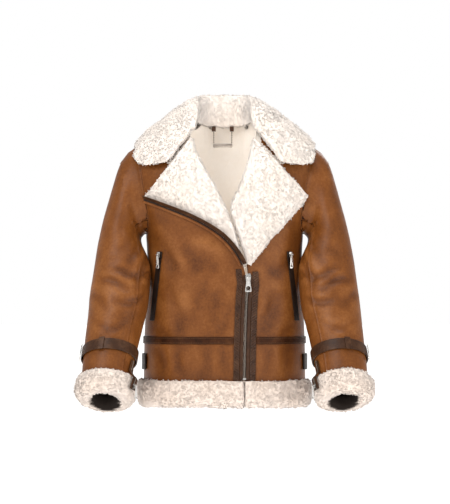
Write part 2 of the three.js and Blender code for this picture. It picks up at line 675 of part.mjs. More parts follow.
// Collar from the back's middle (place 0) round to the gorge (place 1): neck seam, fold, middle of the
// fall, edge
const COLLAR = {
  neck: [
    { place: 0, x: 0, y: 56.3, z: 23.6 },
    { place: 0.25, x: 38, y: 47.4, z: 27.4 },
    { place: 0.5, x: 61.5, y: 21, z: 34.2 },
    { place: 0.68, x: 68, y: -8, z: 38 },
    { place: 0.84, x: 73, y: -34, z: 29 },
    { place: 1, x: 76, y: -56, z: 15 },
  ],
  fold: [
    { place: 0, x: 0, y: 58, z: 92 },
    { place: 0.25, x: 40, y: 48, z: 91 },
    { place: 0.5, x: 60, y: 16, z: 84 },
    { place: 0.68, x: 60, y: -14, z: 68 },
    { place: 0.84, x: 63, y: -44, z: 44 },
    { place: 1, x: 69, y: -66, z: 19 },
  ],
  fall: [
    { place: 0, x: 0, y: 98, z: 50 },
    { place: 0.25, x: 74, y: 80, z: 52 },
    { place: 0.5, x: 124, y: 30, z: 46 },
    { place: 0.68, x: 132, y: -22, z: 26 },
    { place: 0.84, x: 118, y: -62, z: 2 },
    { place: 1, x: 98, y: -85, z: -18 },
  ],
  edge: [
    { place: 0, x: 0, y: 110, z: -34 },
    { place: 0.25, x: 112, y: 94, z: -40 },
    { place: 0.5, x: 180, y: 32, z: -4 },
    { place: 0.62, x: 198, y: -8, z: -14 },
    { place: 0.72, x: 200, y: -44, z: -42 },
    { place: 0.8, x: 190, y: -66, z: -60 },
    { place: 0.9, x: 158, y: -87, z: -61 },
    { place: 1, x: 125, y: -100, z: -55 },
  ],
};
const COLLAR_HALF = 6.5;
const COLLAR_RIM = 2.5;
const COLLAR_PLACES = span(0, 1, 14);
const COLLAR_STEPS = span(0, 1, 9);

function collarMiddle(place, step) {
  const knots = ['neck', 'fold', 'fall', 'edge'].map((name) => {
    const read = (axis) => column(COLLAR[name], 'place', axis, Math.abs(place));
    return vec(Math.sign(place || 1) * read('x'), read('y'), read('z'));
  });
  return new THREE.CatmullRomCurve3(knots, false, 'centripetal').getPoint(step);
}

function collar() {
  const places = [...COLLAR_PLACES.slice(1).map((place) => -place).reverse(), ...COLLAR_PLACES];
  const grid = COLLAR_STEPS.map((step) => places.map((place) => collarMiddle(place, step)));
  const thick = (step) => {
    const end = clamp((1 - step) / 0.12, 0, 1);
    const start = clamp(step / 0.15, 0, 1);
    return lerp(COLLAR_RIM, COLLAR_HALF, Math.sqrt(Math.min(end, 0.5 + start / 2)));
  };
  const side = (sign) => {
    const moved = inset(grid, 1, sign);
    return grid.map((row, i) => row.map((p, j) =>
      p.clone().addScaledVector(moved[i][j].clone().sub(p), thick(COLLAR_STEPS[i]))));
  };
  return wallBetween(side(1), side(-1));
}
add('collar', collar(), 'wool');

// A closed ring of sections, with no ends
function ringOf(sections) {
  const sides = sections[0].length;
  const faces = [];
  sections.forEach((_, i) => {
    const a = i * sides;
    const b = ((i + 1) % sections.length) * sides;
    for (let j = 0; j < sides; j += 1) {
      const k = (j + 1) % sides;
      faces.push([a + j, a + k, b + k], [a + j, b + k, b + j]);
    }
  });
  return solid(sections.flat(), faces);
}

// Cuff band of wool beyond the sleeve's end: distance along the sleeve, and size as a share of the sleeve's
const CUFF_PROFILE = [
  { along: 1, share: 0.9 },
  { along: -3, share: 1.13 },
  { along: 6, share: 1.2 },
  { along: 22, share: 1.23 },
  { along: 36, share: 1.17 },
  { along: 46, share: 0.98 },
  { along: 48, share: 0.72 },
  { along: 41, share: 0.5 },
  { along: 26, share: 0.42 },
  { along: 10, share: 0.5 },
];
const CUFF_SIDES = 20;
const STRAP = { t: 12.45, width: 25, thick: 3, lift: 1.4, sides: 26 };
const KEEPER = { angle: 106, half: 6, thick: 2.2 };
const CUFF_ZIP = { topT: 12.95, topAngle: 22, endAngle: 36, beyond: 38, swell: 16.5 };
const CUFF_GAP = 1.2;
const SLEEVE_RADIUS = 60;

// The direction of a sleeve at a place along it
function sleeveRun(side, t) {
  return sleeveSection(side, t + 0.1).middle.sub(sleeveSection(side, t - 0.1).middle).normalize();
}

function cuffPoint(side, angle, along, share) {
  const { middle, outward, front } = sleeveSection(side, SLEEVE_END);
  const run = middle.clone().sub(sleeveSection(side, SLEEVE_END - 0.5).middle).normalize();
  const turn = THREE.MathUtils.degToRad(angle);
  return middle.clone().addScaledVector(run, along)
    .addScaledVector(outward, -Math.cos(turn) * share).addScaledVector(front, Math.sin(turn) * share);
}

function besideStrap(side, angle, along, height) {
  const p = onSleeve(side, STRAP.t, angle, height);
  return p.addScaledVector(sleeveRun(side, STRAP.t), along);
}

// A place over the cuff zip's line: from under the strap to the end of the wool, aside measured across it
function onCuffZip(side, share, aside, height) {
  const angle = lerp(CUFF_ZIP.topAngle, CUFF_ZIP.endAngle, share);
  const t = lerp(CUFF_ZIP.topT, SLEEVE_END, Math.min(1, share / 0.5));
  const along = Math.max(0, share - 0.5) / 0.5 * CUFF_ZIP.beyond;
  const swell = CUFF_ZIP.swell * smooth(clamp((share - 0.36) / 0.2, 0, 1));
  const turn = THREE.MathUtils.radToDeg(aside / SLEEVE_RADIUS);
  return onSleeve(side, t, angle + turn, height + swell)
    .addScaledVector(sleeveRun(side, SLEEVE_END - 0.3), along);
}

for (const [name, side] of [['right', -1], ['left', 1]]) {
  add(`cuff_wool_${name}`, ringOf(span(0, 360, CUFF_SIDES).slice(1).map((angle) =>
    CUFF_PROFILE.map((row) => cuffPoint(side, angle, row.along + CUFF_GAP, row.share)))), 'wool');
  const half = STRAP.width / 2;
  const strapTop = STRAP.lift + STRAP.thick;
  add(`cuff_strap_${name}`, ringOf(span(0, 360, STRAP.sides).slice(1).map((angle) => [
    besideStrap(side, angle, -half, STRAP.lift),
    besideStrap(side, angle, half, STRAP.lift),
    besideStrap(side, angle, half, strapTop),
    besideStrap(side, angle, -half, strapTop),
  ])), 'brown');
  const keeper = (height) => span(-half - 2, half + 2, 4).map((along) =>
    span(-KEEPER.half, KEEPER.half, 2).map((aside) =>
      besideStrap(side, KEEPER.angle + THREE.MathUtils.radToDeg(aside / SLEEVE_RADIUS), along, height)));
  const base = strapTop + ON_SKIN;
  add(`strap_keeper_${name}`, wallBetween(keeper(base + KEEPER.thick), keeper(base)), 'brown');
}

// Cuff zips: two leather lips and the closed zip between them, from under the strap to the end of the wool
const CUFF_PIECES = [
  { name: 'cuff_lip_front', from: 2.2, to: 7, low: 1.2, high: 3.6, finish: 'brown' },
  { name: 'cuff_lip_inner', from: -7, to: -2.2, low: 1.2, high: 3.6, finish: 'brown' },
  { name: 'cuff_zip', from: -1.8, to: 1.8, low: 1.2, high: 3, finish: 'metal' },
];
for (const [name, side] of [['right', -1], ['left', 1]]) {
  for (const piece of CUFF_PIECES) {
    const grid = (height) => span(0.02, 0.98, 9).map((share) =>
      [onCuffZip(side, share, piece.from, height), onCuffZip(side, share, piece.to, height)]);
    add(`${piece.name}_${name}`, wallBetween(grid(piece.high), grid(piece.low)), piece.finish);
  }
}

// Joins solids into one mesh
function joined(geometries) {
  const whole = geometries.map((geometry) => {
    const bare = geometry.clone();
    bare.deleteAttribute('normal');
    bare.deleteAttribute('uv');
    const merged = mergeVertices(bare, 1e-3);
    const ids = merged.index.array;
    const faces = [];
    for (let i = 0; i < ids.length; i += 3) {
      const [a, b, c] = [ids[i], ids[i + 1], ids[i + 2]];
      if (a !== b && b !== c && a !== c) faces.push(a, b, c);
    }
    return new wasm.Manifold(new wasm.Mesh({
      numProp: 3,
      vertProperties: new Float32Array(merged.attributes.position.array),
      triVerts: new Uint32Array(faces),
    }));
  }).reduce((sum, part) => sum.add(part));
  const mesh = whole.getMesh();
  const geometry = new THREE.BufferGeometry();
  geometry.setAttribute('position', new THREE.Float32BufferAttribute(mesh.vertProperties, 3));
  geometry.setIndex([...mesh.triVerts]);
  return geometry;
}

const block = (x, y, z, at) => new THREE.BoxGeometry(x, y, z).translate(at.x, at.y, at.z);

const circle = (radius, x = 0, z = 0) => span(0, Math.PI * 2, 12).slice(1)
  .map((a) => new THREE.Vector2(x + radius * Math.cos(a), z + radius * Math.sin(a)));

// A plate cut to an outline in the XZ plane, its middle at a depth y
function plate(points, thick, y, hole = null) {
  const shape = new THREE.Shape(points.map(([x, z]) => new THREE.Vector2(x, z)));
  if (hole) shape.holes.push(new THREE.Path(circle(hole.radius, hole.x, hole.z)));
  const geometry = new THREE.ExtrudeGeometry(shape, { depth: thick, bevelEnabled: false, curveSegments: 5 });
  return geometry.rotateX(Math.PI / 2).translate(0, y + thick / 2, 0);
}

// Zip sliders with their pull tabs: where the slider's back lies, its size and the tab's
const PIN_RADIUS = 0.9;
const EYE = { inner: 1.25, outer: 2.3 };
const SLIDERS = [
  { name: 'main', width: 12, height: 18, tabTop: 8, tabEnd: 14, tabLength: 31 },
  { name: 'pocket', width: 8, height: 12, tabTop: 6, tabEnd: 8, tabLength: 30 },
  { name: 'cuff', width: 7, height: 10, tabTop: 5, tabEnd: 7.5, tabLength: 29 },
];
const SLIDER_DEPTH = 3.2;
const TAB_THICK = 1.6;
const TAB_CORNER = 1.5;
const PIN_OUT = SLIDER_DEPTH + EYE.outer + 0.6;

// How far the posts that hold the pin stand from the slider's middle
const postAt = (size) => size.tabTop / 2 - 1.1;

function sliderShape(size) {
  const w = size.width / 2;
  const h = size.height / 2;
  const half = [[w * 0.7, -h], [w, h * 0.3], [w * 0.8, h]];
  const outline = [...half, ...half.map(([x, z]) => [-x, z]).reverse()];
  const body = plate(outline, SLIDER_DEPTH, -SLIDER_DEPTH / 2);
  const post = postAt(size);
  const reach = PIN_OUT + PIN_RADIUS;
  const posts = [-1, 1].map((s) =>
    block(1.4, reach, 2.2, vec(s * (post + 1), -reach / 2 - 0.01, 0)));
  const pin = new THREE.CylinderGeometry(PIN_RADIUS, PIN_RADIUS, 2 * post + 2, 8).rotateZ(Math.PI / 2)
    .translate(0, -PIN_OUT, 0);
  return joined([body, ...posts, pin]);
}

// The tab hangs from its eye at the origin
function tabShape(size) {
  const eye = new THREE.Shape(circle(EYE.outer));
  eye.holes.push(new THREE.Path(circle(EYE.inner)));
  const width = 2 * postAt(size) - 0.2;
  const knuckle = new THREE.ExtrudeGeometry(eye, { depth: width, bevelEnabled: false, curveSegments: 6 })
    .rotateY(Math.PI / 2).translate(-width / 2, 0, 0);
  const neck = width / 2;
  const end = size.tabEnd / 2;
  const long = size.tabLength;
  const half = [
    [neck, -1.7],
    [size.tabTop / 2, -6],
    [end, TAB_CORNER - long],
    [end - TAB_CORNER, -long],
  ];
  const outline = [...half, ...half.map(([x, z]) => [-x, z]).reverse()];
  const hole = { x: 0, z: end + 1.2 - long, radius: end - 2.2 };
  const blade = plate(outline, TAB_THICK, 0, hole);
  return joined([knuckle, blade]);
}

// A slider turned about Z and then leaned back, with its tab hanging plumb from its pin
function slider(name, size, place, turn, lean = 0) {
  const body = add(`${name}_slider`, sliderShape(size), 'metal', place);
  body.rotation.set(-lean, 0, turn, 'ZXY');
  const eye = place.clone().add(vec(0, -PIN_OUT, 0).applyEuler(body.rotation));
  const tab = add(`${name}_pull_tab`, tabShape(size), 'metal', eye);
  tab.rotation.z = turn;
}

const MAIN_SLIDER = { z: -309, height: 4.6 };
slider('main', SLIDERS[0], over(-1, zipLine(MAIN_SLIDER.z), MAIN_SLIDER.z, MAIN_SLIDER.height), 0);

// Pocket zips: a welt with the closed zip in it, slanting down and out
const POCKET = { topX: 140.5, topZ: -252, bottomX: 158, bottomZ: -404, half: 5, thick: 2, rows: 8 };
const CUFF_SLIDER = { share: 0.88, height: 4.9, turn: 45, lean: 17 };
const POCKET_SLIDER = { z: -259, height: 4.4, turn: 28 };
for (const [name, side] of [['right', -1], ['left', 1]]) {
  const down = (z) => (POCKET.topZ - z) / (POCKET.topZ - POCKET.bottomZ);
  const line = (z) => side * lerp(POCKET.topX, POCKET.bottomX, down(z));
  add(`pocket_zip_${name}`, frontStrip(line, -POCKET.half, POCKET.half, POCKET.bottomZ, POCKET.topZ,
    1, 1 + POCKET.thick, POCKET.rows), 'brown');
  const place = over(-1, line(POCKET_SLIDER.z), POCKET_SLIDER.z, POCKET_SLIDER.height);
  slider(`pocket_${name}`, SLIDERS[1], place, side * THREE.MathUtils.degToRad(POCKET_SLIDER.turn));
  slider(`cuff_${name}`, SLIDERS[2], onCuffZip(side, CUFF_SLIDER.share, 0, CUFF_SLIDER.height),
    -side * THREE.MathUtils.degToRad(CUFF_SLIDER.turn), THREE.MathUtils.degToRad(CUFF_SLIDER.lean));
}

// Strap buckles, on the outer side of the sleeves, and the side tabs over the side seams
const BUCKLE = { wide: 30, tall: 33, bar: 3.4, thick: 3, angle: 176 };
const SIDE_TAB = { low: -512, high: -477, ends: 0.8, thick: 4 };
for (const [name, side] of [['right', -1], ['left', 1]]) {
  const middle = BUCKLE.thick / 2;
  const rails = [-1, 1].map((end) => block(BUCKLE.wide, BUCKLE.bar, BUCKLE.thick,
    vec(0, end * (BUCKLE.tall - BUCKLE.bar) / 2, middle)));
  const stiles = [-1, 0, 1].map((end) => block(BUCKLE.bar, BUCKLE.tall - 1, BUCKLE.thick - 0.4,
    vec(end * (BUCKLE.wide - BUCKLE.bar - 0.4) / 2, 0, middle)));
  const frame = joined([...rails, ...stiles]);
  const out = besideStrap(side, BUCKLE.angle, 0, STRAP.lift + STRAP.thick + 0.1);
  const run = sleeveRun(side, STRAP.t);
  const outward = out.clone().sub(besideStrap(side, BUCKLE.angle, 0, 0)).normalize();
  const across = vec(0, 0, 0).crossVectors(run, outward).normalize();
  outward.crossVectors(across, run).normalize();
  frame.applyMatrix4(new THREE.Matrix4().makeBasis(across, run, outward).setPosition(out));
  add(`strap_buckle_${name}`, frame, 'metal');

  const ends = [SIDE_TAB.ends, 0.88, 0.95, 1];
  const row = (z, height) => [
    ...ends.map((a) => around(-1, side * a, z, height)).map((p, i) => (i === 3 ? vec(p.x, 0, p.z) : p)),
    ...ends.slice(0, 3).reverse().map((a) => around(1, side * a, z, height)),
  ];
  const grid = (height) => span(SIDE_TAB.low, SIDE_TAB.high, 2).map((z) => row(z, height));
  add(`side_tab_${name}`, wallBetween(grid(ON_SKIN + 0.5 + SIDE_TAB.thick), grid(ON_SKIN + 0.5)), 'brown');
}

// Hanger inside the back of the neck: two leather tabs, two chains and a bare plate
const HANGER = { x: -4, y: 44.1, spread: 20, tabTop: 26.5, tabBottom: 15 };
const HANGER_TAB = { wide: 9, thick: 2.4 };
const PLATE = { top: -12, height: 9, width: 43, thick: 1.6, corner: 1.5 };
const BEAD = { waist: 0.7, belly: 1.7 };
const BEADS = 5;
for (const [name, side] of [['right', -1], ['left', 1]]) {
  const x = HANGER.x + side * HANGER.spread;
  const tabMiddle = vec(x, HANGER.y, (HANGER.tabTop + HANGER.tabBottom) / 2);
  const tab = block(HANGER_TAB.wide, HANGER_TAB.thick, HANGER.tabTop - HANGER.tabBottom, tabMiddle);
  add(`hanger_tab_${name}`, tab, 'brown');
  const long = HANGER.tabBottom - PLATE.top - 2 * SEAM;
  const profile = [new THREE.Vector2(0, 0)];
  for (let i = 0; i < BEADS; i += 1) {
    const z = (i + 0.5) * long / BEADS;
    profile.push(new THREE.Vector2(BEAD.waist, i * long / BEADS + (i ? 0 : 0.01)));
    profile.push(new THREE.Vector2(BEAD.belly, z));
  }
  profile.push(new THREE.Vector2(BEAD.waist, long - 0.01), new THREE.Vector2(0, long));
  const chain = new THREE.LatheGeometry(profile, 6).rotateX(Math.PI / 2);
  add(`hanger_chain_${name}`, chain, 'metal', vec(x, HANGER.y, PLATE.top + SEAM));
}
const plateHalf = [
  [PLATE.width / 2 - PLATE.corner, 0],
  [PLATE.width / 2, -PLATE.corner],
  [PLATE.width / 2, PLATE.corner - PLATE.height],
  [PLATE.width / 2 - PLATE.corner, -PLATE.height],
];
const plateOutline = [...plateHalf, ...plateHalf.map(([x, z]) => [-x, z]).reverse()];
add('hanger_plate', plate(plateOutline, PLATE.thick, 0), 'metal', vec(HANGER.x, HANGER.y, PLATE.top));

export default jacket;
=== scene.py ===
# %% [markdown]
# # A sheepskin flying jacket
# This jacket is made of skins with the wool left on: tan leather outside, cream wool inside.
# The collar, the lapels, the cuffs and the hem turn the wool outwards. Strips of dark brown
# leather cover the seams, and the metal parts are zips, sliders, buckles and a hanger chain.
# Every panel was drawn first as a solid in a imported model. That model is the frame of this
# lesson: a finer piece takes the place of each plain solid, and stays where the solid was.

# %% Load the frame
import json
from math import cos, pi, radians, sin

import bmesh
import bpy
import numpy as np
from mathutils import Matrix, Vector, kdtree, noise
from mathutils.bvhtree import BVHTree

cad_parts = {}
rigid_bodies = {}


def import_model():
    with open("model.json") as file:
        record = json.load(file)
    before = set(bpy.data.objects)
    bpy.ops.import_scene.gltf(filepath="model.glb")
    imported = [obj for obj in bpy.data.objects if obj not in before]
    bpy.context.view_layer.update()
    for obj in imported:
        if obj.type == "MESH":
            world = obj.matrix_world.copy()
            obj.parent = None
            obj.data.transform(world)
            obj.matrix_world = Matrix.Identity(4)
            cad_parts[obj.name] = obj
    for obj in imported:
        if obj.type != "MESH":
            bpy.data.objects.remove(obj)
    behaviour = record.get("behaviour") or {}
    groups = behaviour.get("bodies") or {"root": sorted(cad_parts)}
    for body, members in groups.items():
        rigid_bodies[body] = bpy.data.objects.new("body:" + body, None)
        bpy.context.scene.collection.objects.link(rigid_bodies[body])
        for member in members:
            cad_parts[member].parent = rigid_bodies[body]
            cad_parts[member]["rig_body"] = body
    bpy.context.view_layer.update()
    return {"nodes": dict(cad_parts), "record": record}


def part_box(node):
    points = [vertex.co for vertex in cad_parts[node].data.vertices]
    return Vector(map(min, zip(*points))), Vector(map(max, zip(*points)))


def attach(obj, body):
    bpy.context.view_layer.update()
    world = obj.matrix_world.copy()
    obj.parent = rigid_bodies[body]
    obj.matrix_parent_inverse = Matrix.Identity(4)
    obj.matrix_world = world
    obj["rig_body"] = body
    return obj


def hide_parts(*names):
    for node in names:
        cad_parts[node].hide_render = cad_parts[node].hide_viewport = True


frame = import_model()
MM = 0.001

# %% [markdown]
# ## The studio
# The photograph shows the jacket straight from the front, on white, in soft light from above.
# A long lens keeps both sleeves the same size. The camera is placed by one rule: how many
# millimetres one point of the picture covers at the depth of the front panels.

# %% Place the camera
PICTURE_LONG_SIDE = 504
MM_PER_POINT = 2.2
FRONT_DEPTH = -0.06
CAMERA_DISTANCE = 9
PICTURE_MIDDLE = (0.001, -0.253)

bpy.ops.object.select_all(action="DESELECT")
bpy.ops.object.camera_add(
    location=(PICTURE_MIDDLE[0], FRONT_DEPTH - CAMERA_DISTANCE, PICTURE_MIDDLE[1]),
    rotation=(radians(90), 0, 0),
)
camera = bpy.context.object
camera.name = "camera"
view_height = PICTURE_LONG_SIDE * MM_PER_POINT * MM
camera.data.sensor_width = 36
camera.data.lens = camera.data.sensor_width * CAMERA_DISTANCE / view_height
bpy.context.scene.camera = camera
print("lens", round(camera.data.lens, 1), "mm")

# %% [markdown]
# ## Floor
# The photograph has a plain white ground with no horizon. A wide round floor, far below the
# hem, and a world that looks white to the camera give the same from every side, while a wall
# behind the jacket would hide its back. The disc's middle is inset and raised by a hair, so
# that it has a soft rim.

# %% Lay the floor
FLOOR_Z = -0.95
FLOOR_RADIUS = 30

bpy.ops.object.select_all(action="DESELECT")
bpy.ops.mesh.primitive_circle_add(
    vertices=96, radius=FLOOR_RADIUS, fill_type="NGON", location=(0, 0, FLOOR_Z)
)
backdrop = bpy.context.object
backdrop.name = "floor"
bpy.ops.object.mode_set(mode="EDIT")
bpy.ops.mesh.select_all(action="SELECT")
bpy.ops.mesh.inset(thickness=2.0, depth=0.01)
bpy.ops.object.mode_set(mode="OBJECT")
bpy.ops.object.transform_apply(location=True, rotation=True, scale=True)
paper = bpy.data.materials.new("white paper")
paper.use_nodes = True
paper_shader = paper.node_tree.nodes["Principled BSDF"]
paper_shader.inputs["Base Color"].default_value = (0.95, 0.95, 0.95, 1)
paper_shader.inputs["Roughness"].default_value = 0.9
paper_shader.inputs["Emission Color"].default_value = (1, 1, 1, 1)
paper_shader.inputs["Emission Strength"].default_value = 0.7
backdrop.data.materials.append(paper)
print("the floor reaches", FLOOR_RADIUS, "m to every side")

# %% [markdown]
# ## Lights
# One large area light stands high on the left and gives the leather its long soft shine. A
# second one, lower and weaker, opens the shadows on the right. Two more light the shoulders and
# the back. Two small lamps stand for the light that the white wool throws into the neck.

# %% Set the lights
LIGHTS = {
    # name: (place, aims at, size, power in watts)
    "key": ((-1.5, -2.6, 1.7), (0, 0, -0.25), 1.6, 62),
    "fill": ((2.3, -2.4, 0.2), (0, 0, -0.3), 2.0, 26),
    "top": ((0.2, -0.3, 2.2), (0, 0, -0.2), 1.2, 26),
    "back": ((0.6, 2.2, 1.0), (0, 0, -0.3), 1.5, 26),
    "collar": ((0, -0.28, 0.1), (0, 0.05, 0.02), 0.1, 0.1),
}

for name, (place, target, size, power) in LIGHTS.items():
    bpy.ops.object.light_add(type="AREA", location=place)
    lamp = bpy.context.object
    lamp.name = name
    lamp.data.size = size
    lamp.data.energy = power
    lamp.rotation_euler = (Vector(target) - Vector(place)).to_track_quat("-Z", "Y").to_euler()

bpy.ops.object.light_add(type="AREA", location=(0, -0.055, -0.09), rotation=(radians(90), 0, 0))
neck_lamp = bpy.context.object
neck_lamp.name = "neck"
neck_lamp.data.size = 0.12
neck_lamp.data.energy = 0.11

world = bpy.data.worlds.new("studio")
world.use_nodes = True
world.node_tree.nodes["Background"].inputs["Color"].default_value = (1, 1, 1, 1)
eye = world.node_tree.nodes.new("ShaderNodeLightPath").outputs["Is Camera Ray"]
brightness = world.node_tree.nodes.new("ShaderNodeMapRange")
brightness.inputs["To Min"].default_value = 0.55
brightness.inputs["To Max"].default_value = 1.0
world.node_tree.links.new(eye, brightness.inputs["Value"])
world.node_tree.links.new(
    brightness.outputs["Result"], world.node_tree.nodes["Background"].inputs["Strength"]
)
bpy.context.scene.world = world
bpy.context.scene.view_settings.view_transform = "Standard"
print(len(LIGHTS) + 1, "lamps")

# %% [markdown]
# ## A way to wire a material
# Materials are node trees. This small helper adds a node, fills in its inputs and links it in
# one call, so that each recipe below stays a short list of steps that can be read in order.

# %% Wire nodes
def add_node(tree, kind, inputs=(), **settings):
    node = tree.nodes.new(kind)
    for key, value in settings.items():
        setattr(node, key, value)
    for key, value in dict(inputs).items():
        if isinstance(value, bpy.types.NodeSocket):
            tree.links.new(value, node.inputs[key])
        else:
            node.inputs[key].default_value = value
    return node


def mix(tree, amount, first, second, blend="MIX"):
    inputs = {0: amount, 6: first, 7: second}
    node = add_node(tree, "ShaderNodeMix", inputs, data_type="RGBA", blend_type=blend)
    return node.outputs[2]


def maths(tree, operation, first, second=0.5, third=0.0):
    inputs = {0: first, 1: second, 2: third}
    return add_node(tree, "ShaderNodeMath", inputs, operation=operation).outputs[0]


def clamp(tree, value):
    return add_node(tree, "ShaderNodeClamp", {"Value": value}).outputs[0]


def cloudy(tree, place, scale, detail, roughness=0.5, distortion=0.0):
    inputs = {"Vector": place, "Scale": scale, "Detail": detail}
    inputs.update({"Roughness": roughness, "Distortion": distortion})
    return add_node(tree, "ShaderNodeTexNoise", inputs).outputs["Fac"]


def new_material(name):
    material = bpy.data.materials.new(name)
    material.use_nodes = True
    tree = material.node_tree
    return material, tree, tree.nodes["Principled BSDF"]


def group(name, inputs, outputs):
    tree = bpy.data.node_groups.new(name, "ShaderNodeTree")
    for title, (kind, value) in inputs.items():
        socket = tree.interface.new_socket(title, in_out="INPUT", socket_type=kind)
        socket.default_value = value
    for title, kind in outputs.items():
        tree.interface.new_socket(title, in_out="OUTPUT", socket_type=kind)
    return tree, tree.nodes.new("NodeGroupInput"), tree.nodes.new("NodeGroupOutput")


# %% [markdown]
# ## Leather grain
# Leather has three scales of texture: pores less than a millimetre apart, the fine net of
# wrinkles between them, and clouds of lighter and darker dye a few centimetres wide. All the
# leathers here share them, so they are one node group with a value for each scale. A point
# attribute written by the shaping steps is 1 on a crest or a swell and -1 in a crease, a dip
# or a sunk seam. It paints shade into the creases, dips and seams, and lightens the crests,
# partly as wear and partly as painted highlight.

# %% Build the grain group
grain, grain_in, grain_out = group(
    "leather grain",
    {
        "Dark": ("NodeSocketColor", (0.1, 0.03, 0.01, 1)),
        "Middle": ("NodeSocketColor", (0.2, 0.07, 0.02, 1)),
        "Light": ("NodeSocketColor", (0.4, 0.2, 0.08, 1)),
        "Pores": ("NodeSocketFloat", 900.0),
        "Clouds": ("NodeSocketFloat", 14.0),
    },
    {"Color": "NodeSocketColor", "Roughness": "NodeSocketFloat", "Height": "NodeSocketFloat"},
)
place = grain.nodes.new("ShaderNodeTexCoord").outputs["Object"]
# Painted shade and highlight: this pushes the dye dark in creases, dips and sunk seams and light on
# crests, partly as wear
fold = add_node(grain, "ShaderNodeAttribute", attribute_name="fold").outputs["Fac"]
clouds = cloudy(grain, place, grain_in.outputs["Clouds"], 5.0, 0.62)
specks = cloudy(grain, place, 210.0, 3.0, 0.7)
pores = add_node(
    grain,
    "ShaderNodeTexVoronoi",
    {"Vector": place, "Scale": grain_in.outputs["Pores"]},
    feature="SMOOTH_F1",
).outputs["Distance"]
wrinkles = cloudy(grain, place, 75.0, 6.0, 0.65, 0.6)
dyed = maths(grain, "MULTIPLY_ADD", clouds, 1.2, -0.1)
dyed = maths(grain, "MULTIPLY_ADD", specks, 0.7, maths(grain, "SUBTRACT", dyed, 0.35))
shade = clamp(grain, maths(grain, "MULTIPLY_ADD", fold, 0.22, dyed))
low_half = clamp(grain, maths(grain, "MULTIPLY", shade, 2.0))
high_half = clamp(grain, maths(grain, "MULTIPLY_ADD", shade, 2.0, -1.0))
toned = mix(grain, low_half, grain_in.outputs["Dark"], grain_in.outputs["Middle"])
toned = mix(grain, high_half, toned, grain_in.outputs["Light"])
rough = maths(grain, "MULTIPLY_ADD", specks, 0.3, 0.26)
height = maths(grain, "MULTIPLY_ADD", pores, 0.35, maths(grain, "MULTIPLY", wrinkles, 1.3))
grain.links.new(toned, grain_out.inputs["Color"])
grain.links.new(rough, grain_out.inputs["Roughness"])
grain.links.new(height, grain_out.inputs["Height"])

# %% [markdown]
# ## The leathers
# The jacket has tan skins, brown gathered strips and straps, and darker waist strips that have
# been waxed less, so they shine less. A leather is three dyes for the grain group and a thin
# coat. The finish is a soft gloss, so the specular level is low and the coat is rough.

# %% Mix the leathers
GRAIN_RELIEF = 0.5


def leather(name, dark, middle, light, pores_scale=900.0, clouds_scale=14.0, coat=0.06):
    material, tree, shader = new_material(name)
    values = {
        "Dark": dark,
        "Middle": middle,
        "Light": light,
        "Pores": pores_scale,
        "Clouds": clouds_scale,
    }
    texture = add_node(tree, "ShaderNodeGroup", node_tree=grain)
    for key, value in values.items():
        texture.inputs[key].default_value = value
    relief = add_node(
        tree,
        "ShaderNodeBump",
        {"Height": texture.outputs["Height"], "Strength": GRAIN_RELIEF, "Distance": 0.0012},
    )
    tree.links.new(texture.outputs["Color"], shader.inputs["Base Color"])
    tree.links.new(texture.outputs["Roughness"], shader.inputs["Roughness"])
    tree.links.new(relief.outputs["Normal"], shader.inputs["Normal"])
    shader.inputs["Coat Weight"].default_value = coat
    shader.inputs["Coat Roughness"].default_value = 0.38
    shader.inputs["Specular IOR Level"].default_value = 0.16
    return material


TAN = leather(
    "tan leather",
    dark=(0.07, 0.02, 0.004, 1),
    middle=(0.16, 0.05, 0.009, 1),
    light=(0.27, 0.1, 0.026, 1),
)
BROWN = leather(
    "brown leather",
    dark=(0.018, 0.007, 0.003, 1),
    middle=(0.045, 0.018, 0.0075, 1),
    light=(0.1, 0.045, 0.02, 1),
    clouds_scale=40.0,
)
STRAP = leather(
    "strap leather",
    dark=(0.012, 0.004, 0.0015, 1),
    middle=(0.04, 0.0125, 0.004, 1),
    light=(0.09, 0.033, 0.011, 1),
    clouds_scale=40.0,
    coat=0.02,
)
STRAP.node_tree.nodes["Principled BSDF"].inputs["Specular IOR Level"].default_value = 0.08
print("leathers:", TAN.name, "and", BROWN.name, "and", STRAP.name)

# %% [markdown]
# ## Wool
# Shearling wool is dense and curly. Seen from a step away it is a soft, lumpy surface with a
# creamy shadow between the locks and almost white tips. That shadow is also painted: the colour
# is darker cream at a lock's root and where the curl noise is low. One noise of many sizes gives
# the bump of curls and fibres. The point attribute "tip" is 0 at a lock's root and 1 at its end,
# and "tone" differs from lock to lock. Another point attribute is 1 where the wool is painted
# almost black, as the shade deep inside the sleeves and the cuffs and near the armholes. Low on
# the jacket the wool is painted a little darker and warmer, as shade.

# %% Make the wool
LOW_SHADE_FROM = -0.42
LOW_SHADE_TO = -0.54
WOOL_RELIEF = 0.6


